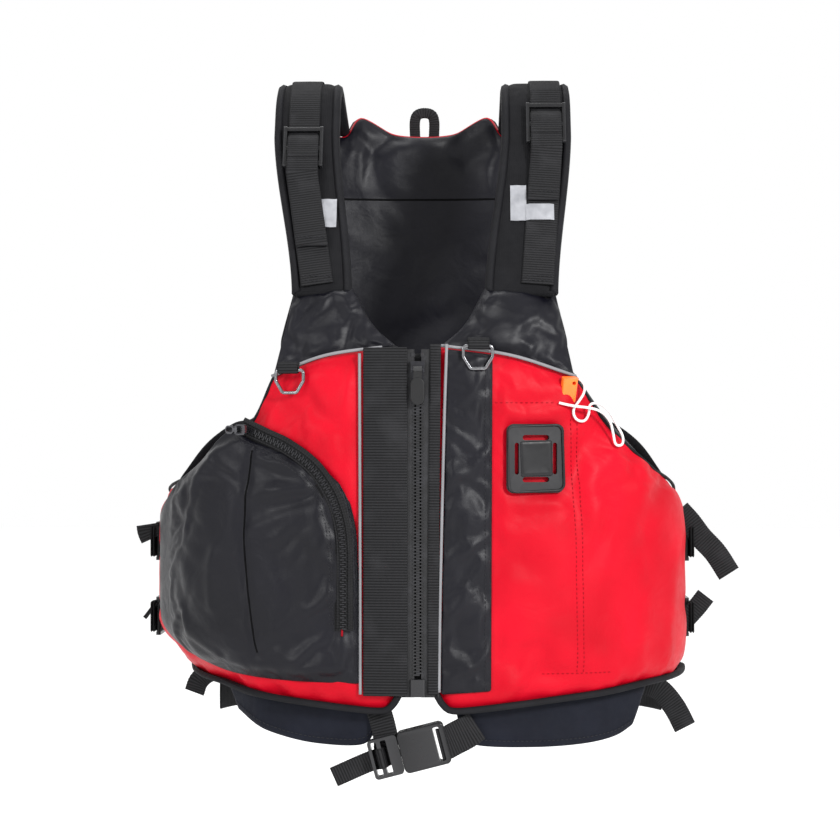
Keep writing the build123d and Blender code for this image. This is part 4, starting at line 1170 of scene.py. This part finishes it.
def shoulder_pad(side):
    name = side_name(side)
    cols, rows = 15, 74
    grid = np.zeros((cols, rows, 2))
    for j, t in enumerate(np.linspace(-4, STRAP_END_T, rows)):
        inner, outer = strap_edges(side, max(t, 0))
        grid[:, j, 0] = np.linspace(inner + 1.5, outer - 1.5, cols)
        grid[:, j, 1] = t

    def rise(x, t, reach):
        soft = 0.5 * wander(x, t * 0.6, 45, 51 + side) * gentle(reach / 8)
        return -3.4 * (1 - gentle(reach / 9)) ** 1.4 + soft

    def under(x, t, reach):
        return -PAD_THICKNESS + 2.6 * (1 - gentle(reach / 9)) ** 1.4

    shape = pillow(grid, on_strap, rise, under, side, walls=2, belly=0.8)[0]
    sewn(shape, f"{name}_strap_pad", ["spacer"] * 3, "strap_fabric", [f"{name}_shoulder_pad"], 0.8)
    rims = Shape()
    fold = [(-4.2, 4.6), (-1.5, 5.6), (1.6, 3.6), (2.4, 0), (1.6, -3.6), (-1.5, -5.6), (-4.2, -4.6),
            (-2.2, 0)]
    for edge, way in ((0, -1), (1, 1)):
        path, ups = [], []
        for t in np.linspace(-2, STRAP_END_T - 1, 110):
            x = strap_edges(side, max(t, 0))[edge]
            path.append(on_strap(side * (x - way), t, -PAD_THICKNESS / 2))
            ups.append(on_strap(side * x, t, 1) - on_strap(side * x, t, 0))
        section = [(a * way * side, b) for a, b in fold]
        swept(rims, path, ups, section[::way * side])
    rims.piece(f"{name}_strap_binding", ["binding"], slot="strap_fabric")


def lock_frame(side, kind):
    """Origin, direction along the strap and outward direction of a ladder lock."""
    if kind == "shoulder":
        t = (SHOULDER_LOCK_Z[side] - STRAP_BASE_Z) / math.sin(SLOPE)
        origin = on_strap(side * STRAP_X[side], t)
        rise, run = math.sin(SLOPE), math.cos(SLOPE)
        return origin, Vector((0, run, rise)), Vector((0, -rise, run))
    origin = Vector((side * SIDE_STRAP_X, SIDE_LOCK_Y, SIDE_LOCK_Z[kind]))
    return origin, Vector((0, 1, 0)), Vector((side, 0, 0))


def threaded(shape, frame_of, points, lean=0.0):
    """Webbing through a lock along (along, height) points; below the lock it leans sideways."""
    origin, forward, out = frame_of
    path = smoothed_path([origin + forward * a + out * h for a, h in points], RIB_PITCH / 4)
    for point in path:
        point.x -= lean * max(0.0, -LEAN_START - (point - origin).dot(forward))
    swept(shape, path, path_ups(path, forward.cross(out)), ribbed())


def lock_feed(name, frame_of, points):
    """Webbing that runs along the given points and into a lock."""
    shape = Shape()
    threaded(shape, frame_of, points + FEED)
    feed = shape.piece(name, ["webbing"], body=None, slot="black_webbing")
    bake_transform(feed)


# Routes through a lock, as distance along the strap and height; how far below it the lean starts
LEAN_START = 10
ANCHOR_TOP = [(5, 1.2), (5.2, 6.6), (-9, 6.6)]
FEED = [(29.5, 1.2), (22, 7.0), (11, 7.1), (3, 8.9)]
TAIL_START = [(6, 8.7), (-6, 8.9), (-13, 7.2), (-21, 3.4)]


def shoulder_webbing(side):
    name = side_name(side)
    lock = lock_frame(side, "shoulder")
    lock_t = (SHOULDER_LOCK_Z[side] - STRAP_BASE_Z) / math.sin(SLOPE)
    lean = side * (STRAP_X[side] - WEBBING_FOOT_X[side]) / (lock_t - LEAN_START)
    over = Shape()
    path, ups = [], []
    for t in np.linspace(lock_t + 44, STRAP_END_T - 4, 150):
        path.append(on_strap(side * STRAP_X[side], t, 1.2))
        ups.append(on_strap(0, t, 1) - on_strap(0, t, 0))
    webbing_run(over, path, ups)
    over.piece(f"{name}_strap_webbing", ["webbing"], slot="black_webbing",
               replaces=[f"{name}_shoulder_webbing"])
    lock_feed(f"{name}_strap_feed", lock, [(48, 1.3), (38, 1.3)])
    tail = Shape()
    fold = -SHOULDER_TAIL[side] + 1.2
    threaded(tail, lock, TAIL_START + [(fold, 3.2)], lean)
    threaded(tail, lock, [(fold, 3.3), (fold - 0.4, 4.6), (fold + 9, 4.7)], lean)
    tail.piece(f"{name}_strap_tail", ["webbing"], slot="black_webbing")
    anchor = Shape()
    threaded(anchor, lock, [(-lock_t + 2, 1.2), (2, 1.2)] + ANCHOR_TOP, lean)
    anchor.piece(f"{name}_strap_anchor", ["webbing"], slot="black_webbing",
                 replaces=[f"{name}_shoulder_anchor"])
    seams = Shape()
    origin, forward, out = lock
    for a, height in ((-lock_t + 5, 2.1), (-lock_t + 9, 2.1), (fold + 6, 5.6)):
        middle = origin + forward * a + out * height - Vector((lean * (-LEAN_START - a), 0, 0))
        ends = [middle + Vector((x, 0, 0)) for x in (-10, 10)]
        stitch(seams, ends, [out] * 2, pitch=2.6, length=2.0, radius=0.3)
    seams.piece(f"{name}_strap_stitching", ["thread"], slot="black_webbing")


# Side, low and high z, inner and outer x of each visible piece of tape
REFLECTORS = ((1, 405, 434, 71, 83.5), (1, 405, 418, 83, 105), (-1, 400, 423, 65, 78))


def reflectors():
    """Silver tape across each strap; the wearer's left one shows below the loose tail too."""
    shape = Shape()
    cols, rows = 8, 10
    for side, low, high, inner, outer in REFLECTORS:
        over_tail = inner > 80
        height = 2.9 if over_tail else 1.3
        for layer, flip in ((height, False), (height - 0.5, True)):
            points, flat = [], []
            for x in np.linspace(inner, outer, cols):
                for z in np.linspace(low, high, rows):
                    t = (z - STRAP_BASE_Z) / math.sin(SLOPE)
                    lift = layer + 0.25 * math.sin(x * 0.7 + z * 0.3)
                    if over_tail:
                        lift = layer - 1.2 * (1 - float(gentle((x - inner) / 2.5)))
                        lift -= 0.9 * float(gentle((x - outer + 3) / 3))
                    points.append(on_strap(side * x, t, lift))
                    flat.append((x, z))
            faces = grid_faces(cols, rows)
            if flip != (side < 0):
                faces = [face[::-1] for face in faces]
            shape.add(points, faces, 0, flat)
    shape.piece("reflective_tapes", ["reflective"], slot="reflective", replaces=["reflectors"])


# ------------------------------------------------------------------ back

def back_grid():
    half = ((27, 498.5), (40, 505), (51, 511), (60, 513), (68, 500))
    neck = curve(*[(-x, z) for x, z in half[::-1]], (0, 496.5), *half, count=80)
    top = flat_run([(-117, 494), (-70, 496), *neck, (70, 496), (117, 494)])
    right = flat_run([(125, BACK_LOW_Z), (125, 318), *curve((125, 318), (106, 405), (117, 494))])
    left = flat_run([(-125, BACK_LOW_Z), (-125, 318), *curve((-125, 318), (-106, 405), (-117, 494))])
    bottom = flat_run([(-125, BACK_LOW_Z), (125, BACK_LOW_Z)])
    return patch(bottom, right, top, left, *BACK_GRID)


def cross_seam(z, level, width=3.5):
    return np.exp(-((z - level) / width) ** 2)


def back_panel():
    def rise(s, z, reach):
        seam = cross_seam(z, LINING_SEAM_Z) + 0.7 * cross_seam(z, LOWER_SEAM_Z)
        soft = wander(s, z, 55, 91) * gentle(reach / 15)
        return -5 * rounded(reach, 16) + 2.5 * gentle(reach / 40) - 2.2 * seam * gentle(reach / 8) + soft

    def under(s, z, reach):
        seam = 1.8 * cross_seam(z, LINING_SEAM_Z) * gentle(reach / 8)
        folds = creases(s, z, (-90, 225), (90, 430), (25, -25, 55, 130), 95, 18, 48, 8)
        folds += creases(s, z, (-80, 450), (80, 495), (35, 145, 90), 97, 16, 22, 5)
        return -BACK_DEPTH + 3 * (1 - gentle(reach / 12)) + seam - 1.3 * folds * gentle(reach / 12)

    grid = back_grid()
    shape, free = pillow(grid, on_back, rise, under, 1, walls=4, belly=1.0)
    shape.faces = [face[::-1] for face in shape.faces]
    count = BACK_GRID[0] * BACK_GRID[1]
    panel = sewn(shape, "back_panel", ["red", "red", "black"], "red_nylon",
                 ["back_cover", "back_foam", "back_lining"], 0.8,
                 free + [index + count for index in free], pressure=3.0, swell=0.04, cap=4.5)
    # Seam across the lining: the seam is real, and its near-black tube is painted shade for the groove and
    # the shadow above it.
    seam = Shape()
    line = [(s, LINING_SEAM_Z) for s in np.linspace(-along(100), along(100), 90)]
    path, outs = laid(on_back, line, -BACK_DEPTH)
    inward = [-out for out in outs]
    tube(seam, drape(surface_of(panel), path, inward, 0.1), 0.9, squash=0.5, ups=inward)
    seam.piece("lining_seam_shade", ["seam"], slot="black_nylon")
    rim = Shape()
    flat = grid.reshape(-1, 2)
    path = [on_back(*flat[index], -5.2) for index in ring_of(*BACK_GRID)]
    tube(rim, spaced(path + path[:1], 300)[:-1], 1.5, closed=True)
    rim.piece("back_rim", ["binding"], slot="black_nylon")


MESH_TOP = curve((126, 285), (145, 250), (164, 243), (185, 226), (203, 199))
MESH_TOP_S = [0, along(125)] + [along(x) for x, _ in MESH_TOP] + [WING_END_S]
MESH_TOP_Z = [214, 214] + [z for _, z in MESH_TOP] + [190]


def back_mesh():
    """Open knitted mesh across the lower back and out to the sides, bound at its edges."""
    cell = MESH_CELL
    shape = Shape()
    columns = int(2 * WING_END_S / cell)
    sides = 8
    for column in range(columns):
        s0 = -WING_END_S + column * 2 * WING_END_S / columns
        s1 = s0 + 2 * WING_END_S / columns
        top = float(np.interp(abs((s0 + s1) / 2), MESH_TOP_S, MESH_TOP_Z))
        count = max(1, int((top - HEM_Z) / cell))
        shift = 0.5 * cell if column % 2 else 0.0
        for row in range(count + 1):
            z0 = max(HEM_Z, HEM_Z + row * cell - shift)
            z1 = min(top, HEM_Z + (row + 1) * cell - shift)
            if z1 - z0 < 1.0:
                continue
            s, z = (s0 + s1) / 2, (z0 + z1) / 2
            hole = []
            for k in range(sides):
                angle = math.tau * k / sides + math.pi / 8
                hole.append((s + 0.36 * (s1 - s0) * math.cos(angle), z + 0.37 * (z1 - z0) * math.sin(angle)))
            rim = [(s1, z), (s1, z1), (s, z1), (s0, z1), (s0, z), (s0, z0), (s, z0), (s1, z0)]
            places = rim + hole
            faces = [(k, (k + 1) % sides, sides + (k + 1) % sides, sides + k) for k in range(sides)]
            shape.add([on_back(*place, MESH_PROUD) for place in places], faces, 0, places)
    mesh = shape.piece("back_mesh_panel", ["mesh"], slot="mesh", replaces=["back_mesh"])
    modified(mesh, "SOLIDIFY", thickness=0.0009, offset=0)
    rims = Shape()
    upper = [(s, z) for s, z in zip(MESH_TOP_S[1:], MESH_TOP_Z[1:]) if z > 189]
    upper = resample(upper[1:], 60)
    ends = [(WING_END_S, z) for z in np.linspace(190, 34, 30)]
    low = [(s, 34.5) for s in np.linspace(-WING_END_S, WING_END_S, 90)]
    middle = [(s, BACK_LOW_Z) for s in np.linspace(-132, 132, 50)]
    bound = []
    for side in (1, -1):
        for line in (upper, ends):
            bound.append(([(side * s, z) for s, z in line], MESH_PROUD, 4.5, 0.3))
    bound += [(low, MESH_PROUD, 4.0, 0.35), (middle, -3.0, 4.0, 0.5)]
    for line, proud, radius, squash in bound:
        swept(rims, *laid(on_back, line, proud), circle_section(radius, 10, squash))
    rims.piece("back_mesh_binding", ["binding"], slot="black_nylon")


def back_belt():
    shape = Shape()
    line = [(s, BELT_Z) for s in np.linspace(-WING_END_S, WING_END_S, 160)]
    webbing_run(shape, *laid(on_back, line, MESH_PROUD))
    for ends, width in ((((184, 31), (198, 25), (210, 11), (219, -6)), 19),
                        (((-166, 40), (-178, 39), (-187, 32), (-191, 22)), 17)):
        webbing_run(shape, [Vector((x, 36, z)) for x, z in curve(*ends, count=30)], Vector((0, -1, 0)), width)
    shape.piece("back_belt", ["webbing"], slot="black_webbing", replaces=["back_waist_belt"])


def hang_loop():
    """Loop of narrow webbing at the neck."""
    shape = Shape()
    y = 131.5
    half = ((3, 521.2), (7, 519), (8.6, 513), (8.4, 502), (7.5, 484))
    points = curve(*[(-x, z) for x, z in half[::-1]], *half, count=60)
    path = [Vector((x, y + 3.0 * gentle((z - 484) / 30), z)) for x, z in points]
    webbing_run(shape, path, Vector((0, 1, 0)), 9.4, 1.5, pitch=1.6)
    shape.piece("neck_loop", ["webbing"], slot="black_webbing", replaces=["hang_loop"])


# ------------------------------------------------------------------ waist and sides

# Belt routes: distance along the belt from the middle of the buckle, distance across it, and y
BELT_LEFT = ((21.6, -1, -136.3), (25.5, -1, -137), (28.6, -1, -134.5), (33, 0, -131.5), (44, 2, -129),
             (52, 5, -126))
BELT_TAIL = ((-15.6, 0, -129.8), (-19, 0, -130.5), (-20.6, 0, -136), (-23, 0, -138.4), (-25.6, 0, -136.5),
             (-27, -0.5, -131.5), (-33, -1, -128.6), (-62, -6, -128.4))


def waist_webbing():
    """Belt webbing either side of the buckle, and the loose end past the plug."""
    forward = Vector((math.cos(BUCKLE_TILT), 0, math.sin(BUCKLE_TILT)))
    across = Vector((-math.sin(BUCKLE_TILT), 0, math.cos(BUCKLE_TILT)))
    origin = Vector((BUCKLE.x, 0, BUCKLE.z))

    def belt(route, width):
        shape = Shape()
        points = [origin + forward * a + across * b + Vector((0, y, 0)) for a, b, y in route]
        folded(shape, points, -across, width)
        return shape

    belt(BELT_LEFT, WEBBING_WIDTH).piece("left_belt_webbing", ["webbing"], slot="black_webbing",
                                         replaces=["left_waist_webbing"])
    right = Shape()
    points = ((-30, -124, 31), (-27, -126, 22), (-24, -129.3, 10), (-24, -130.5, 2))
    path = smoothed_path(points, RIB_PITCH / 4)
    swept(right, path, [Vector((0, -1, 0))] * len(path), ribbed(19))
    feed = right.piece("right_belt_webbing", ["webbing"], body=None, slot="black_webbing",
                       replaces=["right_waist_webbing"])
    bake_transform(feed)
    belt(BELT_TAIL, 15.5).piece("belt_tail", ["webbing"], body="buckle_plug", slot="black_webbing")


SIDE_TAILS = {
    (1, "upper"): ((211, 176), (220, 166), (229, 154), (241, 141), (252, 124)),
    (1, "lower"): ((210, 78), (218, 88), (226, 97), (233, 106)),
    (-1, "upper"): ((-222.4, 152), (-225, 158), (-226, 164)),
    (-1, "lower"): ((-222.4, 92), (-225, 94)),
}


def side_strap(side, level):
    name = f"{side_name(side)}_{level}_side"
    lock = lock_frame(side, level)
    rear = Shape()
    threaded(rear, lock, [(70, -0.8), (58, 0.6), (44, 1.2)])
    rear.piece(f"{name}_webbing", ["webbing"], slot="black_webbing", replaces=[f"{name}_strap"])
    lock_feed(f"{name}_feed", lock, [(45, 1.2), (38, 1.3)])
    tail = Shape()
    threaded(tail, lock, [(6, 8.7), (-4, 8.9), (-9, 8.6)])
    points = curve(*SIDE_TAILS[side, level], count=30)
    path = [Vector((x, SIDE_LOCK_Y - 6.5, z)) for x, z in points]
    webbing_run(tail, path, Vector((0, -1, 0)), 19 if level == "upper" else 16)
    tail.piece(f"{name}_tail", ["webbing"], slot="black_webbing")


def side_anchors(side):
    name = side_name(side)
    shape = Shape()
    for level in SIDE_LOCK_Z:
        threaded(shape, lock_frame(side, level), [(-32, -1.6), (-18, 0.4), (-6, 1.2), (2, 1.2)] + ANCHOR_TOP)
    shape.piece(f"{name}_side_anchor_webbing", ["webbing"], slot="black_webbing",
                replaces=[f"{name}_side_anchors"])


# ------------------------------------------------------------------ rings, cord and small things

def ring_tab(side):
    """Folded webbing tab round the bar of a D-ring."""
    x, z = RING_PLACES[side]
    s = along(x)
    out = outward(on_front, s, z)
    centre = on_front(s, z, RING_PROUD)
    up = Vector((0, 0, 1))
    shape = Shape()
    height = 6.0
    points = [(height, -3.4), (4, -2.6), (-0.6, -2.5), (-2.6, 0.2), (-0.4, 2.6), (4, 1.6), (height, -1.2)]
    path = smoothed_path([centre + up * a + out * b for a, b in points], 0.5)
    across = out.cross(up)
    swept(shape, path, path_ups(path, across), ribbed(16.4, 1.3, 1.8))
    ends = [centre + up * 4.4 + out * 1.8 + across * w for w in (-6.5, 6.5)]
    stitch(shape, ends, [out] * 2, pitch=2.4, length=1.8, radius=0.3)
    shape.piece(f"{side_name(side)}_ring_tab", ["webbing"], slot="black_webbing",
                replaces=[f"{side_name(side)}_dring_tab"])


CORD_DIAMETER = 2.0
# Cord route as (x, z, height above the front's fabric)
CORD_ROUTE = (
    (120.6, 281.2, 3.0), (124.5, 279.0, 3.6), (125.0, 271.5, 4.0), (120.5, 264.5, 4.2),
    (115.8, 257.5, 2.6), (118.5, 250.0, 2.0), (125.5, 248.5, 2.0), (129.0, 255.0, 2.4),
    (128.0, 262.5, 4.0), (136.0, 263.0, 4.6), (144.0, 256.5, 4.2), (149.5, 246.5, 3.0),
    (155.5, 237.5, 2.2), (155.0, 230.5, 2.0), (149.0, 230.5, 2.0), (147.5, 239.0, 2.4),
    (144.5, 249.5, 3.6), (136.5, 257.0, 5.6), (126.5, 259.5, 6.8), (114.5, 260.5, 6.2),
    (105.5, 263.0, 3.4),
)


def whistle_cord():
    route = [on_front(along(x), z, proud) * MM for x, z, proud in CORD_ROUTE]
    data = bpy.data.curves.new("lanyard", "CURVE")
    data.dimensions = "3D"
    spline = data.splines.new("NURBS")
    spline.points.add(len(route) - 1)
    for point, place in zip(spline.points, route):
        point.co = (*place, 1)
    spline.order_u = 3
    spline.use_endpoint_u = True
    spline.resolution_u = 6
    data.bevel_depth = CORD_DIAMETER / 2 * MM
    data.bevel_resolution = 4
    data.use_fill_caps = True
    data.materials.append(LOOKS["cord"])
    cord = bpy.data.objects.new("lanyard", data)
    bpy.context.collection.objects.link(cord)
    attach(cord, "root")
    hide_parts("whistle_cord")


def panel_stitching(panel):
    """Sewn lines on the wearer's left front: a double vertical seam and two short rows."""
    tree = surface_of(panel)
    shape = Shape()
    rows = [[(x + gap, z) for x, z in curve(*DOUBLE_SEAM, count=80)] for gap in (0.0, 5.0)]
    rows.append([(x, 263) for x in np.linspace(59, 101, 30)])
    rows.append([(x, 58) for x in np.linspace(95, 144, 30)])
    for row in rows:
        places, outs = laid(on_front, flat_run(row))
        stitch(shape, drape(tree, places, outs, 0.1), outs, radius=0.3)
    shape.piece("left_front_stitching", ["red_thread"], slot="red_nylon")


def lash_centre():
    """Raised middle and rim on the lash tab."""
    s = along(LASH_X)
    shape = Shape()
    tilt = math.radians(2)
    plane_out = outward(on_front, s, LASH_Z)
    across = Vector((-plane_out.y, plane_out.x, 0)).normalized()
    up = Vector((0, 0, 1))
    right = across * math.cos(tilt) + up * math.sin(tilt)
    tall = up * math.cos(tilt) - across * math.sin(tilt)
    centre = on_front(s, LASH_Z, 1.3 + 3.0)

    def framed(half_x, half_z, radius, steps=6):
        points = []
        for qx, qz, start in ((1, 1, 0), (-1, 1, 90), (-1, -1, 180), (1, -1, 270)):
            for step in range(steps + 1):
                angle = math.radians(start + 90 * step / steps)
                points.append((qx * (half_x - radius) + radius * math.cos(angle),
                               qz * (half_z - radius) + radius * math.sin(angle)))
        return points

    outline = [centre + right * a + tall * b for a, b in framed(21.2, 24.7, 5.2)]
    tube(shape, outline, 1.0, closed=True, squash=0.8, ups=[plane_out] * len(outline))
    rings = [(12.3, 13.2, -0.3), (12.3, 13.2, 0.7), (11.4, 12.3, 1.3), (9.5, 10.4, 1.1), (4, 5, 1.0)]
    points = []
    for half_x, half_z, lift in rings:
        points += [centre + right * a + tall * b + plane_out * lift for a, b in framed(half_x, half_z, 1.2)]
    size = len(points) // len(rings)
    faces = []
    for low in range(0, len(points) - size, size):
        for k in range(size):
            n = (k + 1) % size
            faces.append((low + k, low + n, low + size + n, low + size + k))
    faces.append(tuple(range(len(points) - size, len(points))))
    faces.append(tuple(range(size))[::-1])
    shape.add(points, faces)
    shape.piece("lash_tab_rim", ["rubber"], slot="black_plastic")


def finish_nodes():
    """Materials for the CAD nodes that stay in view."""
    looks = {
        "zip": ["left_zip_chain", "right_zip_chain"],
        "zip_metal": ["front_zip_slider"],
        "pull_metal": ["pocket_zip_slider", "pocket_zip_pull"],
        "grip": ["front_zip_pull"],
        "plastic_solid": ["zip_bottom_box", "waist_buckle_socket", "waist_buckle_plug",
                          "waist_buckle_upper_arm", "waist_buckle_lower_arm"],
        "rubber_solid": ["lash_tab"],
        "ring": ["left_dring", "right_dring"],
        "orange": ["whistle"],
    }
    for side in ("left", "right"):
        for lock in ("shoulder", "upper_side", "lower_side"):
            looks["plastic_solid"].append(f"{side}_{lock}_lock")
    for look, names in looks.items():
        for name in names:
            NODES[name].data.materials.clear()
            NODES[name].data.materials.append(LOOKS[look])


# ------------------------------------------------------------------ assembly

LOOKS = make_looks()
make_camera()
make_studio()
whistle_cord()
finish_nodes()
fronts = {side: front_panel(side) for side in (1, -1)}
panel_stitching(fronts[1])
for side in (1, -1):
    yoke_panel(side)
    piping(side)
    hem_binding(side)
    edge_cord(side)
    waist_flap(side)
    shoulder_pad(side)
    shoulder_webbing(side)
    ring_tab(side)
    side_anchors(side)
    for level in SIDE_LOCK_Z:
        side_strap(side, level)
zip_trim()
pocket()
reflectors()
back_panel()
back_mesh()
back_belt()
hang_loop()
waist_webbing()
lash_centre()
